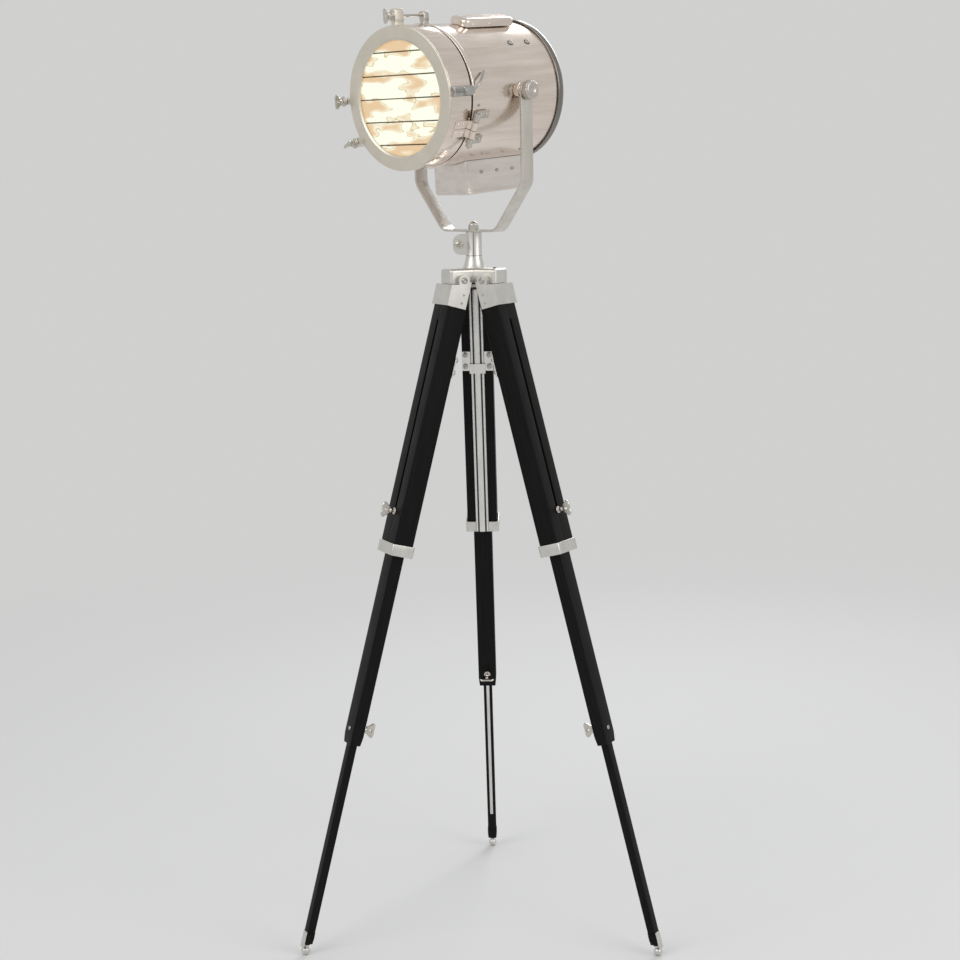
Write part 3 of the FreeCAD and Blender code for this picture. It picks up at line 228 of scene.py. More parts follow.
def blended(add, link, mask, first, second):
    """Colour that runs from first to second with a mask."""
    blend = node(add, "Mix", {"A": (*first, 1), "B": (*second, 1)}, data_type="RGBA")
    link(mask, blend.inputs["Factor"])
    return blend.outputs["Result"]


def surface_out(add, link, values):
    """Principled surface with its constants, joined to the material's output."""
    surface = node(add, "BsdfPrincipled", values)
    link(surface.outputs[0], node(add, "OutputMaterial").inputs["Surface"])
    return surface


def relieved(add, link, mask, depth, surface):
    """Bump that raises a surface by up to a depth in metres where its mask is 1."""
    bump = node(add, "Bump", {"Strength": 1, "Distance": depth})
    link(mask, bump.inputs["Height"])
    link(bump.outputs[0], surface.inputs["Normal"])


def finish(name, place, shades, stretch, contrast, rough, relief, metallic=1.0, specular=0.5):
    """Surface whose streaks pick between two shades and stand up by relief metres, while
    slow clouds move its roughness between two levels."""
    material = bpy.data.materials.new(name)
    add, link = node_tree(material)
    surface = surface_out(add, link, {"Metallic": metallic, "Specular IOR Level": specular})
    vector = own_space(add, link, place)
    grain = masked(add, link, vector, stretch, contrast)
    link(blended(add, link, grain, *shades), surface.inputs["Base Color"])
    level = node(add, "MapRange", {"To Min": rough[0], "To Max": rough[1]})
    link(masked(add, link, vector, cloud_stretch, cloud_contrast), level.inputs["Value"])
    link(level.outputs[0], surface.inputs["Roughness"])
    relieved(add, link, grain, relief, surface)
    return material


wood_shades = ((0.0022, 0.002, 0.002), (0.0085, 0.0076, 0.0074))
black_wood = {side: finish("black_wood_" + side, place, wood_shades, (420, 420, 14), 2.6,
                           (0.34, 0.50), 0.00008, metallic=0.0, specular=0.12)
              for side, place in leg_places.items()}


# Upper leg sections: hollow black wood boxes, 54 by 36 mm, glued up with eased edges. A long
# slot with round ends in the outer face lets the upper wing screw run along the leg.
upper_half, upper_deep, upper_top = 0.027, 0.018, -0.020
middle_half, middle_deep, middle_hidden, middle_travel = 0.0165, 0.011, 0.075, 0.290
band_height, slide_gap, cavity_spare, end_ease = 0.020, 0.0003, 0.012, 0.0008
slot_half, slot_sink, slot_room, slot_spare, no_slot = 0.003, 0.0058, 0.004, 0.040, 0.0002
slide_height = -(upper_reach - middle_hidden + 0.012)
upper_corner, cavity_corner, touching, crease_angle = 0.0022, 0.0008, 2e-6, 32


def softened(corners, radius, steps=5):
    """Closed line with eased corners: it stops a radius short of each corner on both sides,
    and a parabola (1-t)^2 a + 2t(1-t) corner + t^2 b joins the stops a and b."""
    corners = np.asarray(corners, float)
    t = np.linspace(0, 1, steps)[:, None]
    reach = np.broadcast_to(radius, corners.shape[:-1])[..., None]

    def stop(side):
        length = np.linalg.norm(side, axis=-1, keepdims=True)
        return (corners + side * np.minimum(reach / np.maximum(length, 1e-9), 0.45))[..., None, :]

    a = stop(np.roll(corners, 1, -2) - corners)
    b = stop(np.roll(corners, -1, -2) - corners)
    arcs = (1 - t) ** 2 * a + 2 * t * (1 - t) * corners[..., None, :] + t ** 2 * b
    return arcs.reshape(*corners.shape[:-2], -1, 2)


def lofted(rings, loop=False):
    """Shell of quads between neighbouring rings of points. With loop the last ring joins the
    first; otherwise one face closes each end ring."""
    rings = np.asarray(rings, float)
    index = np.arange(rings.shape[0] * rings.shape[1]).reshape(rings.shape[:2])
    near, far = (index, np.roll(index, -1, 0)) if loop else (index[:-1], index[1:])
    quads = np.stack([near, np.roll(near, -1, 1), np.roll(far, -1, 1), far], -1)
    faces = quads.reshape(-1, 4).tolist()
    if not loop:
        faces += [index[0, ::-1].tolist(), index[-1].tolist()]
    return rings.reshape(-1, 3), faces


def shown(name, form, material, crease):
    """Smooth object of one material, with the edges sharper than the crease angle kept sharp."""
    mesh = bpy.data.meshes.new(name)
    form.to_mesh(mesh)
    form.free()
    mesh.polygons.foreach_set("use_smooth", np.ones(len(mesh.polygons), bool))
    mesh.set_sharp_from_angle(angle=math.radians(crease))
    mesh.materials.append(material)
    made = bpy.data.objects.new(name, mesh)
    bpy.context.collection.objects.link(made)
    return made


def piece(name, shells, place, body, material, stands_for=()):
    """One object from closed shells given in a piece's own frame: each point is turned by the
    place's matrix and shifted. Doubles are merged and faces turned outward."""
    matrix, origin = place
    form = bmesh.new()
    for points, faces in shells:
        corners = [form.verts.new(p) for p in points @ matrix.T + origin]
        for face in faces:
            form.faces.new([corners[k] for k in face])
    bmesh.ops.remove_doubles(form, verts=form.verts, dist=touching)
    bmesh.ops.dissolve_degenerate(form, edges=form.edges, dist=touching)
    bmesh.ops.recalc_face_normals(form, faces=form.faces)
    made = shown(name, form, material, crease_angle)
    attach(made, body)
    if stands_for:
        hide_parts(*stands_for)


def slotted_section(half, deep, corner, groove_half, groove_sink):
    """Rounded rectangle whose +Y side dips into a groove, for whole arrays of grooves."""
    half, deep, groove_half, groove_sink = np.broadcast_arrays(half, deep, groove_half, groove_sink)
    floor_y = deep - groove_sink
    x = np.stack([half, groove_half, groove_half, -groove_half, -groove_half, -half, -half,
                  half], -1)
    y = np.stack([deep, deep, floor_y, floor_y, deep, deep, -deep, -deep], -1)
    radius = np.array([corner] + [0.0003] * 4 + [corner] * 3)
    return softened(np.stack([x, y], -1), radius)


def raised(sections, heights):
    """Flat rings lifted to their heights."""
    lift = np.broadcast_to(np.asarray(heights)[:, None, None], (*sections.shape[:2], 1))
    return np.concatenate([sections, lift], -1)


def upper_leg():
    """Outer walls with a groove whose half width is a circle's at its ends, then back down
    the cavity that the middle section slides in."""
    bottom = -upper_reach - band_height / 2
    slot_low = slide_height - slot_room
    slot_high = slot_low + middle_travel + 2 * slot_room + slot_spare
    bend = np.sin(np.linspace(0, math.pi / 2, 7)) * slot_half
    low_end, high_end = slot_low + slot_half - bend[::-1], slot_high - slot_half + bend
    heights = np.r_[bottom, bottom + end_ease, low_end, high_end, upper_top - 0.001, upper_top]
    round_ends = np.sqrt(np.maximum(slot_half ** 2 - np.r_[bend[::-1], bend] ** 2, no_slot ** 2))
    width = np.r_[no_slot, no_slot, round_ends, no_slot, no_slot]
    in_slot = (heights >= slot_low - touching) & (heights <= slot_high + touching)
    sink = np.where(in_slot, slot_sink, 0)
    ease = np.where((heights == bottom) | (heights == upper_top), end_ease, 0)
    outer = raised(slotted_section(upper_half - ease, upper_deep - ease, upper_corner, width, sink),
                   heights)
    cavity_top = -upper_reach + middle_hidden + middle_travel + cavity_spare
    cavity = np.array([cavity_top, bottom + 0.001, bottom])
    flare = np.array([0, 0, 0.0006]) + slide_gap
    inner = raised(slotted_section(middle_half + flare, middle_deep + flare, cavity_corner,
                                   no_slot, 0), cavity)
    return lofted(np.concatenate([inner, outer]))


for side, place in leg_places.items():
    piece("upper_leg_wood_" + side, [upper_leg()], place, "leg_" + side,
          black_wood[side], ["upper_leg_" + side])


# Middle and lower leg sections: a hollow black wood bar that slides in the upper one, and a
# slim solid bar inside that, whose inner face carries a bright metal wear strip.
lower_half, lower_deep, lower_hidden, lower_travel = 0.008, 0.007, 0.060, 0.270
strip_half, strip_sink, strip_length, strip_gap = 0.0028, 0.0015, 0.356, 0.0001
middle_corner, lower_corner, bore_corner = 0.0018, 0.0016, 0.0006
middle_end, clamp_rise = -(upper_reach + middle_reach), 0.027
middle_top, lower_top = -upper_reach + middle_hidden, middle_end + lower_hidden


def middle_leg():
    """Solid head, hollow foot: cavity walls up to its roof, then the outer walls, which draw
    in by 1.5 mm over the last 14 mm."""
    cavity = np.array([lower_top + lower_travel + cavity_spare, middle_end])
    inner = raised(slotted_section(lower_half + slide_gap + np.zeros(2), lower_deep + slide_gap,
                                   bore_corner, no_slot, 0), cavity)
    heights = np.array([middle_end, middle_end + 0.0006, middle_end + 0.014, middle_end + 0.018,
                        middle_top - end_ease, middle_top])
    ease = np.array([0.0021, 0.0015, 0.0002, 0, 0, end_ease])
    outer = raised(slotted_section(middle_half - ease, middle_deep - ease, middle_corner,
                                   no_slot, 0), heights)
    return lofted(np.concatenate([inner, outer]))


def lower_leg():
    """Slim bar with a shallow groove down its inner face; the groove side is turned to -Y."""
    foot = -total_reach + ball_radius + 0.006
    groove_end = lower_top - strip_length
    heights = np.array([foot, foot + 0.0006, groove_end, groove_end + 0.0002,
                        lower_top - 0.0006, lower_top])
    sink = np.array([0, 0, 0, 1, 1, 1]) * (strip_sink + strip_gap)
    ease = np.array([0.0006, 0, 0, 0, 0, 0.0006])
    rings = raised(slotted_section(lower_half - ease, lower_deep - ease, lower_corner,
                                   strip_half + strip_gap, sink), heights)
    return lofted(rings * [-1, -1, 1])


def unit(vectors):
    """Each vector divided by its own length."""
    return vectors / np.maximum(np.linalg.norm(vectors, axis=-1, keepdims=True), 1e-9)


def inset(line, distance):
    """Closed flat line moved inward by a distance, square to its own direction. Points that
    would pass each other at a tight corner are averaged with their neighbours until none do."""
    ahead = unit(np.roll(line, -1, 0) - np.roll(line, 1, 0))
    area = np.sum(line[:, 0] * np.roll(line[:, 1], -1) - line[:, 1] * np.roll(line[:, 0], -1))
    moved = line + np.stack([-ahead[:, 1], ahead[:, 0]], 1) * distance * np.sign(area)
    forward = np.roll(line, -1, 0) - line
    for _ in range(80):
        back = np.sum(forward * (np.roll(moved, -1, 0) - moved), 1) < 0
        if not back.any():
            break
        passed = (back | np.roll(back, 1))[:, None]
        moved = np.where(passed, (np.roll(moved, 1, 0) + moved + np.roll(moved, -1, 0)) / 3, moved)
    return moved


def prism(line, low, high, edge):
    """Flat closed line carried from low to high, drawn in along a quarter circle at each end:
    inset = edge (1 - sin t), height = edge (1 - cos t). A last ring keeps the ends flat."""
    t = np.linspace(0, math.pi / 2, 4)
    moves = edge * np.concatenate([[1.5], 1 - np.sin(t)])
    rises = edge * np.concatenate([[0], 1 - np.cos(t)])
    flat = [inset(line, move) for move in moves]
    return lofted(raised(np.array(flat + flat[::-1]), np.r_[low + rises, (high - rises)[::-1]]))


def rectangle(x_low, x_high, y_low, y_high, corner, steps=5):
    """Rectangle with eased corners, anticlockwise."""
    corners = [(x_high, y_high), (x_low, y_high), (x_low, y_low), (x_high, y_low)]
    return softened(corners, corner, steps)


satin_nickel = finish("satin_nickel", head_place, ((0.60, 0.585, 0.55), (0.76, 0.745, 0.70)),
                      (55, 55, 55), 1.5, (0.30, 0.44), 0.00002)
polished_strip = finish("polished_strip", head_place, ((0.66, 0.65, 0.63), (0.84, 0.83, 0.80)),
                        (90, 90, 8), 1.6, (0.18, 0.30), 0.00001)
strip = prism(rectangle(-strip_half, strip_half, -lower_deep, -lower_deep + strip_sink, 0.0003),
              lower_top - strip_length, lower_top, 0.0003)
for side, place in leg_places.items():
    piece("middle_leg_wood_" + side, [middle_leg()], place, "middle_section_" + side,
          black_wood[side], ["middle_leg_" + side])
    piece("lower_leg_wood_" + side, [lower_leg()], place, "lower_section_" + side,
          black_wood[side], ["lower_leg_" + side])
    piece("wear_strip_metal_" + side, [strip], place, "lower_section_" + side,
          polished_strip, ["wear_strip_" + side])


# Foot: a black lacquered ferrule pushed over the wood, with a bright plate screwed to its
# outer face, necked down to a turned metal ball that rests on the floor.
ferrule_wall, ferrule_height, neck_radius, cheek_half = 0.0014, 0.024, 0.0045, 0.0068
ferrule_top = -total_reach + ball_radius + 0.003 + ferrule_height
plate_face = lower_deep + ferrule_wall + 0.0002
upward = rotation("y", -90)


def posed(shell, matrix=None, shift=(0, 0, 0)):
    """Shell turned by a matrix, then shifted."""
    points, faces = shell
    return points @ (np.eye(3) if matrix is None else matrix).T + np.asarray(shift), faces


def turned(corners, ease=0.0005, count=72, steps=5, grip=None, start=0):
    """Closed outline of (along, radius) spun about local X, its corners eased except on the
    axis: points (s, r sin a, r cos a), with s counted from start. A grip function may change
    the radius with the station and the angle."""
    corners = np.asarray(corners, float) + [start, 0]
    line = softened(corners, np.where(corners[:, 1] > 1e-9, ease, 0), steps)
    a = np.linspace(0, 2 * math.pi, count, endpoint=False)
    s, r = (np.broadcast_to(column, (len(line), count)) for column in (line[:, :1], line[:, 1:]))
    if grip:
        r = grip(s, r, a)
    return lofted(np.stack([s, r * np.sin(a), r * np.cos(a)], -1), loop=True)


def ferrule():
    """Rounded rectangle that draws in to a circle: ring = (1-m) rectangle + m circle, with m
    rising smoothly towards the neck; a lip and a groove mark its upper edge."""
    half, deep = lower_half + ferrule_wall - 0.0006, lower_deep + ferrule_wall - 0.0006
    base = rectangle(-half, half, -deep, deep, 0.003, 9)
    around = np.arctan2(base[:, 1], base[:, 0])
    circle = np.stack([np.cos(around), np.sin(around)], 1) * neck_radius
    drop = np.array([0, 0.0004, 0.0022, 0.0026, 0.0032, 0.0036, 0.013, 0.017, 0.020,
                     0.0225, 0.0245])
    swell = np.array([-0.0006, 0, 0, -0.0005, -0.0005, 0, 0, 0, 0, 0, 0])
    morph = np.array([0, 0, 0, 0, 0, 0, 0, 0.12, 0.42, 0.8, 1])[:, None, None]
    rings = (base + np.sign(base) * swell[:, None, None]) * (1 - morph) + circle * morph
    return lofted(raised(rings, ferrule_top - drop))


ball_angles = np.linspace(math.pi, 0.5, 22)
ball_line = np.c_[np.cos(ball_angles), np.sin(ball_angles)] * ball_radius
ball_line[0, 1] = 0
neck_line = [(0.0085, 0.0036), (0.0105, neck_radius), (0.0125, 0)]
ball = posed(turned(np.r_[ball_line, neck_line], 0.0002, 40, 3), upward, (0, 0, -total_reach))
cheek = prism(rectangle(-cheek_half, cheek_half, plate_face - 0.0014, plate_face, 0.0004),
              -total_reach + ball_radius * 0.7, ferrule_top - 0.0006, 0.0003)
for side, place in leg_places.items():
    piece("foot_metal_" + side, [cheek, ball], place, "lower_section_" + side,
          satin_nickel, ["foot_" + side])
    piece("foot_sleeve_" + side, [ferrule()], place, "lower_section_" + side,
          black_wood[side])


# Slide rail on each leg's inner face: a black plate that carries one broad and two narrow
# bright ribs. The band round the leg's foot is a folded metal strip left open for the rail,
# and a small round nut in the middle section's outer face takes the lower wing screw.
rail_half, rail_base, rib_width, rib_rise = 0.0115, 0.0016, 0.004, 0.0024
core_half, core_rise, band_wall, seat_gap = 0.005, 0.0034, 0.003, 0.0003
rail_low, rail_high = -upper_reach - band_height / 2, upper_top + 0.006
black_paint = finish("black_paint", head_place, ((0.012, 0.011, 0.011), (0.02, 0.019, 0.018)),
                     (60, 60, 60), 2.0, (0.35, 0.5), 0.00003, metallic=0.0)
steel = finish("steel_fastener", head_place, ((0.40, 0.39, 0.37), (0.55, 0.54, 0.52)),
               (120, 120, 120), 1.8, (0.22, 0.36), 0.00002)
outward_y, inward_y = rotation("z", 90), rotation("z", -90)


def rail_ribs():
    """Three ribs with rounded crests, from the plate's face outward along -Y."""
    aside, root = rail_half - rib_width / 2, -upper_deep - rail_base * 0.4
    return [prism(rectangle(centre - half, centre + half, -upper_deep - rise, root, 0.0009),
                  rail_low, rail_high, 0.0005)
            for centre, half, rise in ((0, core_half, core_rise), (aside, rib_width / 2, rib_rise),
                                       (-aside, rib_width / 2, rib_rise))]


def band_ring(low, high):
    """Folded open strip. Its section starts on the outer face, rounds over the top, down the
    inner face and back below; one section stands on each point of two matching lines."""
    gap, fit = rail_half + seat_gap, 0.0002
    lines = []
    for wall, bend in ((band_wall, 0.004), (fit, 0.0018)):
        x, y = upper_half + wall, upper_deep + wall
        corners = [(gap, -y), (x, -y), (x, y), (-x, y), (-x, -y), (-gap, -y)]
        lines.append(softened(corners, np.array([0, bend, bend, bend, bend, 0]), 7)[6:-6])
    outer, inner = lines
    edge, wall = 0.0011, band_wall - fit
    a = np.linspace(0, math.pi / 2, 4)
    reach, drop = edge * (1 - np.cos(a)), edge * (1 - np.sin(a))
    across = np.concatenate([reach, wall - reach[::-1], wall - reach, reach[::-1]]) / wall
    height = np.concatenate([high - drop, high - drop[::-1], low + drop, low + drop[::-1]])
    flat = outer[:, None] + (inner - outer)[:, None] * across[:, None]
    levels = np.broadcast_to(height[:, None], (*flat.shape[:2], 1))
    return lofted(np.concatenate([flat, levels], -1))


def screw_head(radius, height, socket=0.5):
    """Low round head with a sunk socket, its base at the origin and its crown towards +X."""
    return turned([(-0.0004, 0), (height * 0.35, 0), (height * 0.35, radius * socket * 0.8),
                   (height, radius * socket), (height, radius * 0.75), (height * 0.45, radius),
                   (-0.0004, radius)], radius * 0.12, 28, 4)


band = band_ring(-upper_reach - band_height / 2, -upper_reach + band_height / 2)
rail_plate = prism(rectangle(-rail_half, rail_half, -upper_deep - rail_base, -upper_deep, 0.0004),
                   rail_low, rail_high, 0.0004)
clamp_nut = posed(screw_head(0.0036, 0.0016, 0.4), outward_y,
                  (0, middle_deep, middle_end + clamp_rise))
for side, place in leg_places.items():
    piece("rail_plate_" + side, [rail_plate], place, "leg_" + side, black_paint)
    piece("rail_ribs_" + side, rail_ribs(), place, "leg_" + side, polished_strip,
          ["slide_rail_" + side])
    piece("leg_band_metal_" + side, [band], place, "leg_" + side, satin_nickel,
          ["leg_band_" + side])
    piece("clamp_nut_" + side, [clamp_nut], place, "middle_section_" + side,
          steel)


# Tripod head: a nickel-plated casting with three hinge tongues and a split post. The shoes on
# the legs are castings too, each held to its wood by four small screws, and the bracket over
# each rail is folded from strip and closed by four domed nuts.
nut_aside, nut_sink, nut_heights = 0.021, 0.0024, (-0.155, -0.134)
shoe_aside, shoe_screws = 0.030, ((-0.005, -0.024), (-0.004, -0.038))
flat_angle, cast_crease = 0.8, 30
sideways = {1: rotation("z", 0), -1: rotation("z", 180)}


def eased(node_name, material, width=0.0007, segments=3):
    """Copy of a node with merged corners, flat faces made whole and every hard edge rounded
    over as polishing leaves it."""
    form = bmesh.new()
    form.from_mesh(frame["nodes"][node_name].data)
    bmesh.ops.remove_doubles(form, verts=form.verts, dist=touching)
    bmesh.ops.dissolve_limit(form, angle_limit=math.radians(flat_angle), verts=form.verts,
                             edges=form.edges)
    made = shown(node_name + "_polished", form, material, cast_crease)
    round_over = made.modifiers.new("rounded_edges", "BEVEL")
    round_over.width, round_over.segments = width, segments
    round_over.limit_method, round_over.angle_limit = "ANGLE", math.radians(cast_crease)
    round_over.harden_normals = round_over.use_clamp_overlap = True
    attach(made, frame["nodes"][node_name]["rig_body"])
    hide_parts(node_name)


eased("tripod_head", satin_nickel, 0.0012)
domed_nut = turned([(-0.0005, 0), (-0.0005, 0.0046), (0.0030, 0.0046), (0.0044, 0.0030),
                    (0.0047, 0)], 0.0009, 28, 4)
nuts = [posed(domed_nut, inward_y, (sign * nut_aside, -upper_deep - nut_sink, height))
        for sign in (1, -1) for height in nut_heights]
pins = [posed(screw_head(0.0021, 0.0008), sideways[sign], (sign * shoe_aside, y, z))
        for sign in (1, -1) for y, z in shoe_screws]
for side, place in leg_places.items():
    eased("leg_cap_" + side, satin_nickel, 0.0011)
    eased("rail_bracket_" + side, polished_strip, 0.0005)
    piece("bracket_nuts_" + side, nuts, place, "leg_" + side, steel)
    piece("shoe_screws_" + side, pins, place, "leg_" + side, steel)


# Hinge bolts: one plain steel bolt through each tongue of the tripod head, with a socketed
# head at both ends. The set screw shows dark; the post's split and a turned groove are thin
# black pieces of painted shade.
bolt_half, bolt_radius, bolt_seat = 0.0313, 0.003, 0.0303
post_radius, post_low, post_high, groove_root = 0.0137, 0.038, 0.0795, 0.0130
seam_radius = post_radius + 0.00008


def rod(low, high, radius, ease, count, steps=3, grip=None):
    """Round rod between two stations along local X, plain or with a grip."""
    return turned([(low, 0), (low, radius), (high, radius), (high, 0)], ease, count, steps, grip)


bolt_head = screw_head(0.0055, 0.003, 0.55)
bolt = [posed(rod(-bolt_half, bolt_half, bolt_radius, 0.0003, 24), None, (0, hinge_radius, 0))]
bolt += [posed(bolt_head, sideways[sign], (sign * bolt_seat, hinge_radius, 0)) for sign in (1, -1)]
bolts = [posed(shell, rotation("z", 120 * k)) for k in range(3) for shell in bolt]
piece("hinge_bolts_steel", bolts, head_place, "tripod_head_body", steel,
      ["hinge_bolts"])
crown = posed(screw_head(0.0029, 0.0016, 0.6), upward, (0, 0.041, 0.0192))
piece("set_screw", [posed(crown, rotation("z", 240))], head_place, "tripod_head_body", black_paint)
# Black strip in the post's split and black ring in its groove: painted shade.
split = prism(rectangle(-0.0005, 0.0005, -seam_radius, -post_radius + 0.001, 0.0001),
              post_low, post_high, 0.00005)
groove = posed(turned([(0.0400, groove_root), (0.0400, seam_radius), (0.0406, seam_radius),
                       (0.0406, groove_root)], 0.00005, 64, 3), upward)
piece("post_seams_painted_shade", [split, groove], head_place, "tripod_head_body", black_paint)


# Wing screws that lock the sliding legs and the swivel: a threaded shank, a turned collar
# and a cast fan-shaped wing with a hole through it, all nickel plated and polished.
wing_span, wing_reach, wing_thick, wing_hole = 0.028, 0.0192, 0.0036, 0.0021
collar_radius, collar_length, shank_radius = 0.0042, 0.008, 0.0025
shank_bite, shank_spare, swivel_span, swivel_reach, swivel_shank = 0.006, 0.0006, 0.019, 0.0132, 0.015
ear_half, ear_bolt_reach, ear_height = 0.009, 0.024, 0.059
polished_nickel = finish("polished_nickel", head_place, ((0.52, 0.49, 0.44), (0.68, 0.65, 0.60)),
                         (75, 75, 75), 1.6, (0.16, 0.26), 0.00001)


def threaded(depth, pitch, low, high, core):
    """Grip function for a thread between two stations, outside its core: the radius becomes
    r - depth (1 + cos(2 pi s / pitch + a))."""
    return lambda s, r, a: np.where((s > low) & (s < high) & (r > core),
                                    r - depth * (1 + np.cos(s * 2 * math.pi / pitch + a)), r)


def wing_plate(span, reach, start):
    """Flat fan in the plane of X (outward) and Z (span): narrow at the collar, wide at its
    rounded outer corners. Rings run from the rim's middle over the face to a round hole."""
    waist, far, corner = 0.0040, span / 2, span * 0.15
    line = softened([(0, waist), (0, -waist), (reach * 0.42, -0.62 * far), (reach - corner, -far),
                     (reach, corner - far), (reach * 0.97, 0), (reach, far - corner),
                     (reach - corner, far), (reach * 0.42, 0.62 * far)], span * 0.12, 6)
    centre = np.array([reach * 0.60, 0])
    rim = line - centre
    way = unit(rim)
    hole = way * wing_hole
    face, e = wing_thick / 2, wing_thick * 0.30
    rings = []
    for ring, grow, level in ((rim, -e, face), (rim, 0, face - e), (rim, 0, e - face),
                              (rim, -e, -face), (hole, e * 0.7, -face), (hole, 0, e - face),
                              (hole, 0, face - e), (hole, e * 0.7, face)):
        moved = ring + way * grow + centre
        rings.append(np.stack([moved[:, 0] + start, np.full(len(moved), level), moved[:, 1]], 1))
    return lofted(rings, loop=True)


def wing_screw(span, reach, shank, collar=collar_radius):
    """Shank into -X, washer and waisted collar, then the wing plate upright in X and Z."""
    thread = threaded(0.00012, 0.0011, -1, 0, 0.001)
    stem = turned([(-shank, 0), (-shank, shank_radius), (0.0004, shank_radius),
                   (0.0004, collar * 1.45), (0.0016, collar * 1.45), (0.0022, collar * 0.85),
                   (collar_length * 0.45, collar * 0.72), (collar_length * 0.7, collar),
                   (collar_length + 0.0006, collar), (collar_length + 0.0026, collar * 0.6),
                   (collar_length + 0.0028, 0)], 0.0006, 32, 4, thread)
    return [stem, wing_plate(span, reach, collar_length - 0.0022)]


for side, place in leg_places.items():
    knob = [posed(shell, outward_y, (0, upper_deep + seat_gap, slide_height))
            for shell in wing_screw(wing_span, wing_reach, upper_deep - middle_deep + shank_bite)]
    piece("slide_wing_" + side, knob, place, "upper_wing_" + side, polished_nickel,
          ["slide_knob_" + side])
    level = rotation("x", 90) if side == "rear" else np.eye(3)
    clamp = [posed(shell, inward_y @ level, (0, -middle_deep - seat_gap, middle_end + clamp_rise))
             for shell in wing_screw(wing_span, wing_reach, middle_deep - lower_deep - shank_spare)]
    piece("clamp_wing_" + side, clamp, place, "lower_wing_" + side, polished_nickel,
          ["clamp_knob_" + side])

swivel = [posed(shell, inward_y @ rotation("x", 90), (0, -ear_half - seat_gap, 0))
          for shell in wing_screw(swivel_span, swivel_reach, swivel_shank)]
swivel.append(posed(screw_head(0.0055, 0.004, 0.5), outward_y, (0, ear_half + seat_gap, 0)))
swivel.append(posed(rod(-0.011, 0.0115, 0.003, 0.0003, 24), outward_y))
swivel_place = (np.eye(3), np.array([-ear_bolt_reach, 0, hinge_height + ear_height]))
piece("swivel_wing_metal", swivel, swivel_place, "swivel_wing", polished_nickel,
      ["swivel_clamp"])


# Yoke: one flat nickel-plated strap, 28 by 4 mm, bent to a U with slanted lower corners and
# rounded ends, bolted down by its threaded stud and a domed nut.
post_top, pivot_rise, lamp_turn, lamp_tilt = hinge_height + 0.080, 0.231, 41, 4
pivot = np.array([0, 0, post_top + seat_gap + pivot_rise])
facing = rotation("z", -90 - lamp_turn)
yoke_place, lamp_place = (facing, pivot), (facing @ rotation("y", lamp_tilt), pivot)
strap_half, strap_thick, strap_bend = 0.014, 0.004, 0.011
arm_x, arm_low, foot_x, foot_low = 0.124, -0.1493, 0.06103, -0.229


def yoke_strap():
    """Rounded rectangle swept along the strap's middle line. Half width along the way is
    sqrt(h^2 - (h - d)^2) within h of an end, d being the distance to that end."""
    corners = np.array([(arm_x, strap_half), (arm_x, arm_low), (foot_x, foot_low),
                        (-foot_x, foot_low), (-arm_x, arm_low), (-arm_x, strap_half)])
    bends = softened(corners, strap_bend, 9).reshape(6, 9, 2)
    fine = strap_half * (1 - np.cos(np.linspace(0, math.pi / 2, 12)))[1:]
    start = np.c_[np.full(11, arm_x), strap_half - fine]
    tip = strap_half - 0.0001
    middle = np.concatenate([[(arm_x, tip)], start, bends[1:5].reshape(-1, 2),
                             start[::-1] * [-1, 1], [(-arm_x, tip)]])
    step = np.linalg.norm(np.diff(middle, axis=0), axis=1)
    way = np.concatenate([[0], np.cumsum(step)])
    end = np.minimum(way, way[-1] - way) + 0.0001
    half = np.sqrt(np.maximum(strap_half ** 2 - np.maximum(strap_half - end, 0) ** 2, 1e-8))
    ahead = unit(np.gradient(middle, axis=0))
    side = np.stack([ahead[:, 1], -ahead[:, 0]], 1)
    corner_x = half[:, None] * [1, -1, -1, 1]
    corner_n = strap_thick / 2 * np.array([1, 1, -1, -1]) * np.ones((len(middle), 1))
    line = softened(np.stack([corner_x, corner_n], -1), 0.0009, 4)
    spots = middle[:, None] + side[:, None] * line[..., 1:]
    return lofted(np.concatenate([line[..., :1], spots], -1))


yoke_metal = finish("yoke_metal", yoke_place, ((0.56, 0.53, 0.48), (0.74, 0.71, 0.65)),
                    (40, 120, 12), 1.6, (0.20, 0.32), 0.00001)
piece("yoke_strap_metal", [yoke_strap()], yoke_place, "yoke_frame", yoke_metal,
      ["yoke"])
eased("yoke_nut", polished_nickel, 0.0006)
stud = rod(-0.265, -0.220, 0.006, 0.0006, 40, 4, threaded(0.0002, 0.0015, -1, 1, 0.005))
piece("yoke_stud_steel", [posed(stud, upward)], yoke_place, "yoke_frame", steel,
      ["yoke_stud"])

# Tilt knobs: a turned and plated knob with shallow flutes round its rim, screwed through each
# arm of the yoke into the lamp's boss.
knob_face, knob_edge = arm_x + strap_thick / 2 + seat_gap, 0.013


def fluted(s, r, a):
    """Eighteen shallow flutes round a knob's rim."""
    return np.where(r > knob_edge, r * (1 - 0.028 * (1 + np.cos(18 * a))), r)


knob = turned([(-0.012, 0), (-0.012, 0.004), (0, 0.004), (0, 0.0125), (0.0018, 0.0125),
               (0.0024, 0.016), (0.0115, 0.016), (0.014, 0.0125), (0.014, 0.006),
               (0.0126, 0.0045), (0.0126, 0)], 0.0009, 144, 5, fluted, knob_face)
for side, sign in (("right", 1), ("left", -1)):
    piece("tilt_knob_metal_" + side, [posed(knob, rotation("z", 90 * sign))], lamp_place,
          "tilt_knob_body_" + side, polished_nickel, ["tilt_knob_" + side])

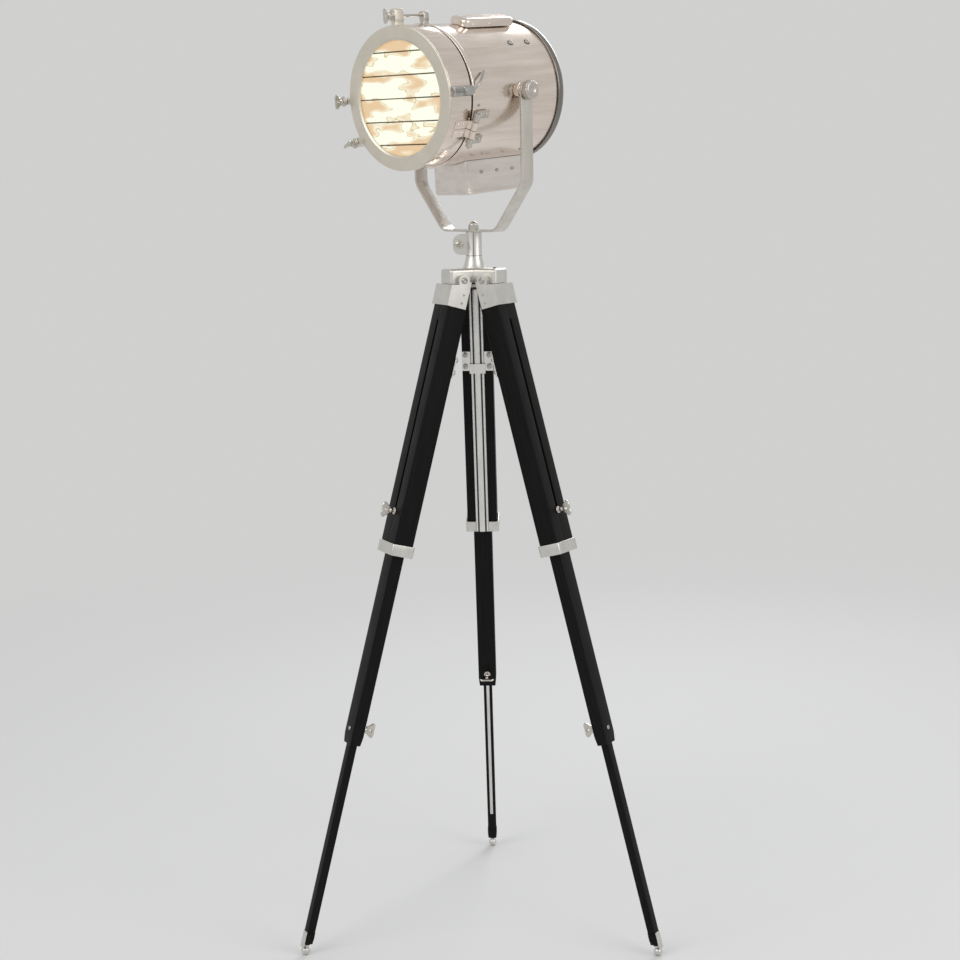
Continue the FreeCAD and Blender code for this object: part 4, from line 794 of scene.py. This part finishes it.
# Lamp barrel: a rolled and polished sheet tube with a beaded front edge and a riveted boss at
# each pivot. Local +X is forward, +Y the viewer's right; both axes cross at the pivot.
barrel_radius, barrel_wall, barrel_front, barrel_back = 0.115, 0.002, 0.117, 0.100
# The streaks along the lamp's axis in this metal's colour are painted reflections.
shell_metal = finish("polished_shell", lamp_place, ((0.68, 0.585, 0.515), (0.96, 0.855, 0.77)),
                     (5, 62, 62), 1.7, (0.13, 0.22), 0.000012)
barrel = turned([(-barrel_back, barrel_radius - barrel_wall), (-barrel_back, barrel_radius),
                 (barrel_front - 0.0085, barrel_radius), (barrel_front - 0.0075, 0.1168),
                 (barrel_front - 0.0015, 0.1172), (barrel_front, 0.1160),
                 (barrel_front, barrel_radius - barrel_wall)], 0.0007, 192)
boss = turned([(0.1112, 0), (0.1112, 0.015), (0.1185, 0.015), (0.1192, 0.0125), (0.1215, 0.0125),
               (0.1217, 0.0118), (0.1217, 0)], 0.0006, 64)
bosses = [posed(boss, outward_y), posed(boss, inward_y)]
piece("barrel_metal", [barrel] + bosses, lamp_place, "lamp_head", shell_metal,
      ["barrel"])

# Rear cap and cable gland: a domed disc spun from sheet and pressed over the barrel's back,
# and a turned steel gland with spanner flats where the supply lead enters.
rear = -barrel_back
flange_radius, flange_back, flange_front = 0.009, rear - 0.0295, rear - 0.0245
# The cap's metal is given dark shades as painted shade, standing for the shadowed rim at the barrel's
# back.
spun_metal_painted_shade = finish("spun_metal_painted_shade", lamp_place, ((0.20, 0.185, 0.17), (0.31, 0.29, 0.265)),
                    (140, 14, 14), 1.3, (0.20, 0.30), 0.00001)
cap = turned([(0.011, 0.1152), (0.011, 0.1172), (0.0095, 0.118), (0.002, 0.118), (-0.002, 0.1165),
              (-0.006, 0.113), (-0.0145, 0.094), (-0.020, 0.074), (-0.0235, 0.052), (-0.024, 0.030),
              (-0.0225, 0.024), (-0.0225, 0.0055), (-0.0205, 0.0055), (-0.0205, 0.026),
              (-0.0215, 0.050), (-0.012, 0.092), (-0.003, 0.111), (-0.0003, 0.111),
              (-0.0003, 0.1152)], 0.0018, 192, start=rear)
piece("rear_cap_metal", [cap], lamp_place, "lamp_head", spun_metal_painted_shade, ["rear_cap"])


def six_sided(s, r, a):
    """Spanner flats on the gland's flange: the radius of a hexagon, cos 30 / cos of the angle
    to the nearest flat's middle."""
    flat = (a + math.pi / 6) % (math.pi / 3) - math.pi / 6
    on_flange = (s < flange_front) & (s > flange_back) & (r > flange_radius - 0.0005)
    return np.where(on_flange, flange_radius * 0.875 / np.cos(flat), r)


gland = turned([(-0.019, 0.0035), (-0.019, 0.0074), (-0.0218, 0.0074), (-0.0218, 0.0054),
                (-0.0242, 0.0054), (-0.0242, flange_radius), (-0.030, flange_radius),
                (-0.031, 0.0082), (-0.038, 0.0078), (-0.042, 0.0058), (-0.042, 0.0035)],
               0.0005, 96, 5, six_sided, rear)
piece("cable_gland_metal", [gland], lamp_place, "lamp_head", steel,
      ["cable_gland"])

# Vent cover: a hood pressed from polished sheet, with rounded ends, a raised crown and two
# rivets a side. It stands on two feet over the slot in the barrel's top.
vent_low, vent_centre, vent_long, vent_half, vent_turn = 0.114, -0.004, 0.059, 0.020, 15
vent_clear, vent_corner, rivet_height, rivet_stations = 0.1162, 0.011, 0.1190, (0.0368, -0.0007)


def clock(turn_degrees):
    """Turn about the lamp's axis: local Z goes to the clock angle, right being positive."""
    return rotation("x", -turn_degrees)


def hood():
    """Rounded rectangle rings: inside roof, inside wall, lip, outside wall, then the shoulder
    up to the crown. No ring dips below z = sqrt(R^2 - y^2), a little clear of the barrel."""
    rings = []
    for move, lift in ((0.0100, 0.0115), (0.0034, 0.0105), (0.0018, 0.0005), (0.0012, 0),
                       (0.0004, 0.0001), (0, 0.0007), (0, 0.0088), (0.0005, 0.0104),
                       (0.0015, 0.0118), (0.0030, 0.0128), (0.0048, 0.0134), (0.0070, 0.0137),
                       (0.0090, 0.0138), (0.0102, 0.0138)):
        long, half, corner = vent_long - move, vent_half - move, max(vent_corner - move, 0.0012)
        line = rectangle(vent_centre - long, vent_centre + long, -half, half, corner, 13)
        curve = np.sqrt(vent_clear ** 2 - line[:, 1] ** 2)
        rings.append(np.c_[line, np.maximum(vent_low + lift, curve + lift * 0.01)])
    return lofted(rings)


vent_rivet = turned([(-0.0006, 0), (-0.0006, 0.0024), (0.0004, 0.0024), (0.0013, 0.0014),
                     (0.0015, 0)], 0.0006, 24, 4)
vent_shells = [hood()]
for sign in (1, -1):
    middle = vent_centre + sign * (vent_long - 0.012)
    vent_shells.append(prism(rectangle(middle - 0.006, middle + 0.006, -0.012, 0.012, 0.002),
                             barrel_radius + 0.0001, 0.1255, 0.0004))
    vent_shells += [posed(vent_rivet, rotation("z", 90 * sign),
                          (along, sign * vent_half, rivet_height)) for along in rivet_stations]
piece("vent_cover_metal", [posed(shell, clock(vent_turn)) for shell in vent_shells], lamp_place,
      "lamp_head", shell_metal, ["vent_cover"])

# Base box: an open tub folded from the same sheet, closed against the barrel's underside,
# which holds the wiring.
box_centre, box_long, box_half, box_low = -0.0115, 0.076, 0.037, -0.165
box_clear, box_corner, corner_points = 0.1153, 0.0035, 7


def base_tub():
    """Open tub: inside floor, inside wall up to the barrel's curve z = -sqrt(R^2 - y^2), over
    the rim, and down the outside to a rounded floor edge."""
    def wall(move):
        """The tub's outline, its four straight sides cut in twelve parts."""
        long, half, corner = box_long - move, box_half - move, max(box_corner - move, 0.0008)
        line = rectangle(box_centre - long, box_centre + long, -half, half, corner, corner_points)
        sides = []
        for k, (point, after) in enumerate(zip(line, np.roll(line, -1, 0))):
            parts = 12 if k % corner_points == corner_points - 1 else 1
            t = np.linspace(0, 1, parts, endpoint=False)[:, None]
            sides.append(point + (after - point) * t)
        return np.concatenate(sides)

    rings = []
    for move, level in ((0.002, 0.002), (0.002, None), (0, None), (0, 0.004), (0.0006, 0.0018),
                        (0.0018, 0.0005), (0.004, 0), (0.006, 0)):
        line = wall(move)
        curve = -np.sqrt(box_clear ** 2 - line[:, 1] ** 2)
        rings.append(np.c_[line, curve if level is None else np.full(len(line), box_low + level)])
    return lofted(rings)


box_metal = finish("box_metal", lamp_place, ((0.64, 0.585, 0.54), (0.88, 0.82, 0.77)),
                   (9, 40, 90), 1.3, (0.16, 0.28), 0.00001)
piece("base_box_metal", [base_tub()], lamp_place, "lamp_head", box_metal,
      ["base_box"])

# Screws and rivets of the lamp: two pairs of screws beside the crown, each on a black disc
# that is a painted shadow round its head, three screws on each side of the box, and small
# rivets where the sheets meet. The screws and rivets are steel.
screw_spots = [(-0.011, 48), (-0.052, 48), (-0.011, -48), (-0.052, -48)]
rivet_spots = [(0.103, 99), (0.103, -99), (0.046, 148), (-0.046, 148), (0.046, -148),
               (-0.046, -148)]
box_screw_step, box_screw_height = 0.038, -0.129


def on_barrel(shell, along, turn_degrees):
    """Shell stood on the barrel's skin, at a station along it and a clock angle."""
    return posed(posed(shell, upward, (along, 0, barrel_radius)), clock(turn_degrees))


# Black discs under the crown screws: painted shadow round each head.
shadow_disc = rod(-0.0003, 0.0003, 0.0054, 0.0002, 28)
piece("screw_painted_shadows", [on_barrel(shadow_disc, *spot) for spot in screw_spots], lamp_place, "lamp_head",
      black_paint)
screws = [on_barrel(screw_head(0.0042, 0.0024), *spot) for spot in screw_spots]
screws += [posed(screw_head(0.0032, 0.0020), rotation("z", 90 * sign),
                 (box_centre + k * box_screw_step, sign * box_half, box_screw_height))
           for sign in (1, -1) for k in (-1, 0, 1)]
piece("head_screws_steel", screws, lamp_place, "lamp_head", steel,
      ["head_screws"])
piece("barrel_rivets", [on_barrel(screw_head(0.0024, 0.0014), *spot) for spot in rivet_spots],
      lamp_place, "lamp_head", steel)

# Catch on the door at three o'clock: a turned steel barrel, knurled in front and grooved
# where a small lever holds it, and set into the door's side.
door_radius, catch_rise, catch_groove = 0.116, 0.002, 0.0066
catch_radius, catch_low, catch_high, catch_turn = 0.0084, 0.1205, 0.1665, 87


def knurled(s, r, a):
    """Sixteen grooves along the front half of the catch's barrel."""
    front_half = (s > (catch_low + catch_high) / 2 + 0.002) & (s < catch_high - 0.001) & (r > 0.006)
    return np.where(front_half, r - 0.0008 * (1 + np.cos(16 * a)), r)


catch = turned([(catch_low, 0), (catch_low, 0.0062), (catch_low + 0.0015, catch_radius),
                (0.1425, catch_radius), (0.1430, catch_groove), (0.1445, catch_groove),
                (0.1450, catch_radius), (catch_high - 0.0015, catch_radius), (catch_high, 0.0058),
                (catch_high - 0.003, 0.0030), (catch_high - 0.003, 0)], 0.0006, 96, 5, knurled)
catch = posed(posed(catch, None, (0, 0, door_radius + catch_rise)), clock(catch_turn))
piece("catch_barrel", [catch], lamp_place, "door", steel)

# Door: a deep polished hoop with a satin face plate round the glass. Two of the hinge's rolled
# knuckles are riveted to the hoop, and three cast lugs on the plate take the wing screws.
door_wall, door_depth, door_plate, glass_opening = 0.0025, 0.053, 0.004, 0.092
door_front, door_inside = barrel_front + door_depth, door_radius - door_wall
hoop_back, plate_back = barrel_front + 0.0036, door_front - 0.0030
knuckle_radius, knuckle_length, knuckle_bore, knuckle_gap = 0.0055, 0.014, 0.0026, 0.00015
hinge_long, hinge_axis, hinge_turn = 0.058, 0.125, 117
leaf_reach, leaf_face, leaf_rivets = 0.036, 0.1174, (0.006, 0.018)
lug_reach, lug_size, lug_crest, top_lug_crest = 0.130, 0.012, 0.006, 0.0115
door_lug_length, door_lug_foot, latch_turns = 0.020, 0.1142, {"top": 0, "side": -90, "low": -122}


def knuckle(k, arm):
    """Rolled knuckle about the hinge pin, with the leaf that reaches from it along the ring by
    the arm's length, forward where the arm is positive."""
    low = -hinge_long / 2 + k * (hinge_long - knuckle_length) / 3 + knuckle_gap
    high = low + knuckle_length - 2 * knuckle_gap
    rolled = turned([(low, knuckle_bore), (low, knuckle_radius), (high, knuckle_radius),
                     (high, knuckle_bore)], 0.0005, 40)
    along = math.copysign(1, arm)
    far = barrel_front + arm
    profile = [(far, 0.1150), (far, 0.1172), (barrel_front + along * 0.0085, 0.1178),
               (barrel_front + along * 0.0052, 0.1225), (barrel_front + along * 0.0012, 0.1216),
               (barrel_front + along * 0.0040, 0.1182), (barrel_front + along * 0.0042, 0.1150)]
    leaf = prism(softened(profile, 0.0008, 4), low, high, 0.0003)
    heads = [posed(screw_head(0.0026, 0.0012), upward,
                   (far - along * back, (low + high) / 2, leaf_face)) for back in leaf_rivets]
    shells = [posed(rolled, outward_y, (barrel_front, 0, hinge_axis)),
              posed(leaf, np.array([[1.0, 0, 0], [0, 0, 1], [0, 1, 0]])), *heads]
    return [posed(shell, clock(hinge_turn)) for shell in shells]


def lug(front, length, root, crest=lug_crest):
    """Block with a rounded outer end and a waist, drawn in the plane across the lamp's axis."""
    half = lug_size / 2
    line = softened([(half, lug_reach + crest), (-half, lug_reach + crest),
                     (-half, lug_reach - half), (-half * 0.72, root + 0.004), (-half, root),
                     (half, root), (half * 0.72, root + 0.004), (half, lug_reach - half)],
                    np.array([0.005, 0.005, 0.002, 0.002, 0.0003, 0.0003, 0.002, 0.002]), 6)
    block = prism(line, front - length, front, 0.0012)
    return posed(block, np.array([[0.0, 0, 1], [1, 0, 0], [0, 1, 0]]))


ring_metal = finish("satin_ring", lamp_place, ((0.68, 0.635, 0.545), (0.78, 0.735, 0.64)),
                    (30, 30, 30), 1.4, (0.32, 0.46), 0.00002)
hoop = turned([(hoop_back, door_inside), (hoop_back, door_radius), (plate_back, door_radius),
               (plate_back, door_inside)], 0.0009, 192)
piece("door_hoop_metal", [hoop] + knuckle(1, leaf_reach) + knuckle(2, leaf_reach), lamp_place,
      "door", shell_metal, ["door_ring"])
face_plate = turned([(plate_back + 0.0001, door_inside), (plate_back + 0.0001, door_radius),
                     (door_front - 0.0006, door_radius), (door_front, door_radius - 0.0008),
                     (door_front, glass_opening + 0.0035),
                     (door_front - 0.0016, glass_opening + 0.0012),
                     (door_front - 0.0016, glass_opening), (door_front - door_plate, glass_opening),
                     (door_front - door_plate, door_inside)], 0.0009, 192)
door_lugs = [posed(lug(door_front, door_lug_length, door_lug_foot,
                       top_lug_crest if name == "top" else lug_crest), clock(angle))
             for name, angle in latch_turns.items()]
piece("door_plate_metal", [face_plate] + door_lugs, lamp_place, "door", ring_metal)

# Gasket: a moulded rubber ring pressed into the gap between the barrel's bead and the door,
# which it closes against light and dust. Its near-black colour is painted shade of the seam.
seam_shade_rubber = finish("gasket_painted_shade", lamp_place, ((0.012, 0.011, 0.010), (0.03, 0.028, 0.026)),
                (80, 80, 80), 1.8, (0.55, 0.7), 0.00003, metallic=0.0)
gasket = turned([(0.0002, 0.1105), (0.0002, 0.1148), (0.0038, 0.1148), (0.0038, 0.1105)],
                0.0005, 128, start=barrel_front)
piece("door_gasket", [gasket], lamp_place, "door", seam_shade_rubber)

# Hinge at the lower right: the outer two of its four rolled and plated knuckles are riveted to
# the barrel, and one steel pin with eased ends runs through all four.
piece("door_hinge_metal", knuckle(0, -leaf_reach) + knuckle(3, -leaf_reach), lamp_place,
      "lamp_head", polished_nickel, ["door_hinge"])
pin = turned([(-0.032, 0), (-0.032, 0.0022), (-0.0312, 0.0025), (0.0312, 0.0025), (0.032, 0.0022),
              (0.032, 0)], 0.0004, 28, 4)
pin = posed(posed(pin, outward_y, (barrel_front, 0, hinge_axis)), clock(hinge_turn))
piece("hinge_pin_steel", [pin], lamp_place, "lamp_head", steel, ["hinge_pin"])

# Latch lugs and door screws: cast lugs on the barrel behind those of the door, and a long
# captive wing screw of plated steel through each pair. The one at nine o'clock lies level.
lug_setback, lug_foot = 0.012, 0.1152
latch_span, latch_reach, latch_collar = 0.026, 0.0142, 0.0058
latch_shank = door_depth + lug_setback + shank_bite
lugs = [posed(lug(barrel_front - lug_setback, lug_size, lug_foot), clock(angle))
        for angle in latch_turns.values()]
piece("latch_lugs_metal", lugs, lamp_place, "lamp_head", polished_nickel,
      ["latch_lugs"])
for name, angle in latch_turns.items():
    lay = rotation("x", 90) if name == "side" else np.eye(3)
    screw = [posed(posed(shell, lay, (door_front + seat_gap, 0, lug_reach)), clock(angle))
             for shell in wing_screw(latch_span, latch_reach, latch_shank, latch_collar)]
    piece("door_wing_metal_" + name, screw, lamp_place, "door_wing_" + name, polished_nickel,
          ["door_screw_" + name])

# Catch lever: a short bent rod of polished steel on the lamp's side, which lies along the
# barrel behind the catch and holds the door shut.
lever_radius = 0.0018


def bent_rod(path, radius):
    """Round rod along a path: circles square to the path, in the plane of two normals that
    are cross products with the way ahead."""
    path = np.asarray(path, float)
    ahead = unit(np.gradient(path, axis=0))
    first = unit(np.cross(ahead, [0, 1, 0.3]))
    second = np.cross(ahead, first)
    a = np.linspace(0, 2 * math.pi, 12, endpoint=False)[:, None]
    circles = np.cos(a) * first[:, None] + np.sin(a) * second[:, None]
    return lofted(path[:, None] + radius * circles)


t = np.linspace(0, 1, 12)
swing, out = np.radians(86 - 13 * t), 0.1185 + 0.0045 * np.sin(math.pi * t ** 0.7)
lever = np.stack([0.1145 - 0.0285 * t, out * np.sin(swing), out * np.cos(swing)], 1)
piece("catch_lever", [bent_rod(lever, lever_radius)], lamp_place, "lamp_head", steel)

# Front glass: a round pane cut in six heat-proof strips, slightly wavy, held in thin dark
# bars. The pane's glow, pale yellow with warm patches and warmest at its rim, is painted light of the
# lit bulb shining through it.
pane_front, pane_thick, pane_radius = door_front - door_plate - seat_gap, 0.003, 0.100
bar_spacing, bar_half, bar_deep, pane_end, glass_room = 0.037, 0.0008, 0.005, 0.0996, 0.0003


def lit_glass(name, shades, painted_reflection, patch, strength, clear, rough):
    """Clear glass whose own glow runs between a warm and a pale shade in soft patches, with
    a thin painted reflection line where the two meet. On the front pane the glow is painted
    light of the bulb behind it; on the bulb it is the lamp's own light. Away from the lamp's
    axis the glow turns warmer: a share of the distance sqrt((0.8 y)^2 + z^2) is taken off the
    patches."""
    material = bpy.data.materials.new(name)
    add, link = node_tree(material)
    surface = surface_out(add, link, {"Transmission Weight": clear, "IOR": 1.47, "Roughness": rough,
                                      "Base Color": (0.36, 0.35, 0.31, 1),
                                      "Emission Strength": strength})
    vector = own_space(add, link, lamp_place)
    across = node(add, "VectorMath", {1: (0, 0.8, 1)}, operation="MULTIPLY")
    distance = node(add, "VectorMath", operation="LENGTH")
    edge = node(add, "MapRange", {"From Min": 0.050, "From Max": 0.096},
                interpolation_type="SMOOTHSTEP")
    warmer = node(add, "Math", {1: -0.34}, operation="MULTIPLY_ADD")
    link(vector, across.inputs[0])
    link(across.outputs[0], distance.inputs[0])
    link(distance.outputs["Value"], edge.inputs["Value"])
    link(edge.outputs[0], warmer.inputs[0])
    link(masked(add, link, vector, *patch), warmer.inputs[2])
    pale_share = node(add, "MapRange", {"From Min": 0.16, "From Max": 0.50},
                      interpolation_type="SMOOTHSTEP")
    meeting = node(add, "Math", {1: 0.40, 2: 0.018}, operation="COMPARE")
    reflection_lined = node(add, "Mix", {"B": (*painted_reflection, 1)}, data_type="RGBA")
    link(warmer.outputs[0], pale_share.inputs["Value"])
    link(warmer.outputs[0], meeting.inputs[0])
    link(meeting.outputs[0], reflection_lined.inputs["Factor"])
    link(blended(add, link, pale_share.outputs[0], *shades), reflection_lined.inputs["A"])
    link(reflection_lined.outputs["Result"], surface.inputs["Emission Color"])
    relieved(add, link, masked(add, link, vector, (30, 90, 260), 1.6), 0.0004, surface)
    return material


def pane_strip(low, high):
    """Strip of a disc between two heights: rings go up the strip, each a loop across the
    front and back again; the front swells by half a millimetre at the strip's middle."""
    heights = np.linspace(low, high, 12)
    chord = np.sqrt(np.maximum(pane_radius ** 2 - heights ** 2, 4e-6))
    across = np.linspace(-1, 1, 40)
    u = (heights - low) / (high - low)
    swell = (0.0012 * 4 * u * (1 - u))[:, None] * (1 - across ** 4) * 0.4
    y = chord[:, None] * across
    front = pane_front - 0.0006 + swell + 0.00012 * np.sin(y * 260 + heights[:, None] * 90)
    back = np.full_like(front, pane_front - pane_thick)
    x = np.concatenate([front, back[:, ::-1]], 1)
    y = np.concatenate([y, y[:, ::-1]], 1)
    z = np.broadcast_to(heights[:, None], x.shape)
    return lofted(np.stack([x, y, z], -1))


# The pane's glow, patches and warm rim included, is painted light of the bulb behind it, and its thin
# dark lines are painted reflections.
glow_glass = lit_glass("lit_pane", ((0.64, 0.39, 0.15), (0.93, 0.95, 0.75)), (0.50, 0.40, 0.19),
                       ((5, 16, 44), 2.6, 1.5), 0.76, 0.10, 0.22)
bar_metal = finish("bar_metal", lamp_place, ((0.10, 0.085, 0.06), (0.22, 0.19, 0.14)),
                   (60, 20, 60), 1.8, (0.3, 0.45), 0.00002)
bar_levels = [(k - 2) * bar_spacing for k in range(5)]
edges = [-pane_end, *bar_levels, pane_end]
strips = [pane_strip(edges[k] + bar_half + glass_room * (k > 0),
                     edges[k + 1] - bar_half - glass_room * (k < 5)) for k in range(6)]
piece("front_glass_strips", strips, lamp_place, "door", glow_glass, ["front_glass"])
bars = []
for level in bar_levels:
    reach = math.sqrt(pane_radius ** 2 - level ** 2) - 0.0006
    bars.append(prism(rectangle(pane_front - bar_deep, pane_front, -reach, reach, 0.0006),
                      level - bar_half, level + bar_half, 0.0003))
piece("glass_bars_metal", bars, lamp_place, "door", bar_metal, ["glass_bars"])

# Reflector and socket: a spun mirror bowl with a rolled lip, and a ceramic lamp socket held
# in a strap bracket across the barrel.
bowl_back, bowl_radius, bowl_mouth, bowl_wall, bowl_hole = -0.062, 0.100, 0.084, 0.0012, 0.0181
bowl_angles = np.linspace(math.asin(bowl_hole / bowl_radius),
                          math.asin(bowl_mouth / bowl_radius), 26)
bowl_out, bowl_in = (np.c_[bowl_back + bowl_radius - radius * np.cos(bowl_angles),
                           radius * np.sin(bowl_angles)]
                     for radius in (bowl_radius, bowl_radius - bowl_wall))
lip = bowl_out[-1] + [(0.0008, 0.0016), (0.0022, 0.0014), (0.0024, -0.0004), (0.0012, -0.0014)]
bowl = turned(np.concatenate([bowl_out, lip, bowl_in[::-1]]), 0.0002, 128, 3)
mirror = finish("mirror_bowl", lamp_place, ((0.72, 0.66, 0.52), (0.92, 0.89, 0.78)),
                (40, 40, 40), 1.6, (0.04, 0.12), 0.00002)
piece("reflector_bowl", [bowl], lamp_place, "lamp_head", mirror, ["reflector"])
ceramic = finish("ceramic_socket", lamp_place, ((0.70, 0.67, 0.60), (0.80, 0.78, 0.72)),
                 (90, 90, 90), 1.6, (0.25, 0.4), 0.00003, metallic=0.0)
socket = turned([(-0.084, 0), (-0.084, 0.0165), (-0.082, 0.018), (-0.0645, 0.018),
                 (-0.0645, 0.0172), (-0.0600, 0.0172), (-0.0600, 0.018), (-0.041, 0.018),
                 (-0.040, 0.0172),
                 (-0.040, 0.0132), (-0.078, 0.0132), (-0.078, 0)], 0.0006, 64)
piece("bulb_socket_ceramic", [socket], lamp_place, "lamp_head", ceramic,
      ["bulb_socket"])
eased("socket_bracket", steel, 0.0003, 2)

# Bulb: a round opal glass globe on a threaded cap, lit from inside.
bulb_centre, bulb_radius = -0.0077, 0.030
globe = np.linspace(math.radians(150), 0, 26)
bulb_cap = [(-0.0777, 0), (-0.0777, 0.010), (-0.074, 0.0128), (-0.0397, 0.0128), (-0.036, 0.0125)]
bulb_ball = np.c_[bulb_centre + bulb_radius * np.cos(globe), bulb_radius * np.sin(globe)]
bulb_line = np.r_[bulb_cap, bulb_ball]
bulb_line[-1, 1] = 0
bulb = turned(bulb_line, 0.0006, 64, 4, threaded(0.0004, 0.004, -0.074, -0.042, 0.011))
opal = lit_glass("bulb_opal", ((1.0, 0.86, 0.58), (1.0, 0.95, 0.80)), (1.0, 0.90, 0.68),
                 ((30, 30, 30), 1.2), 0.9, 0.1, 0.3)
piece("bulb_glass", [bulb], lamp_place, "lamp_head", opal, ["bulb"])
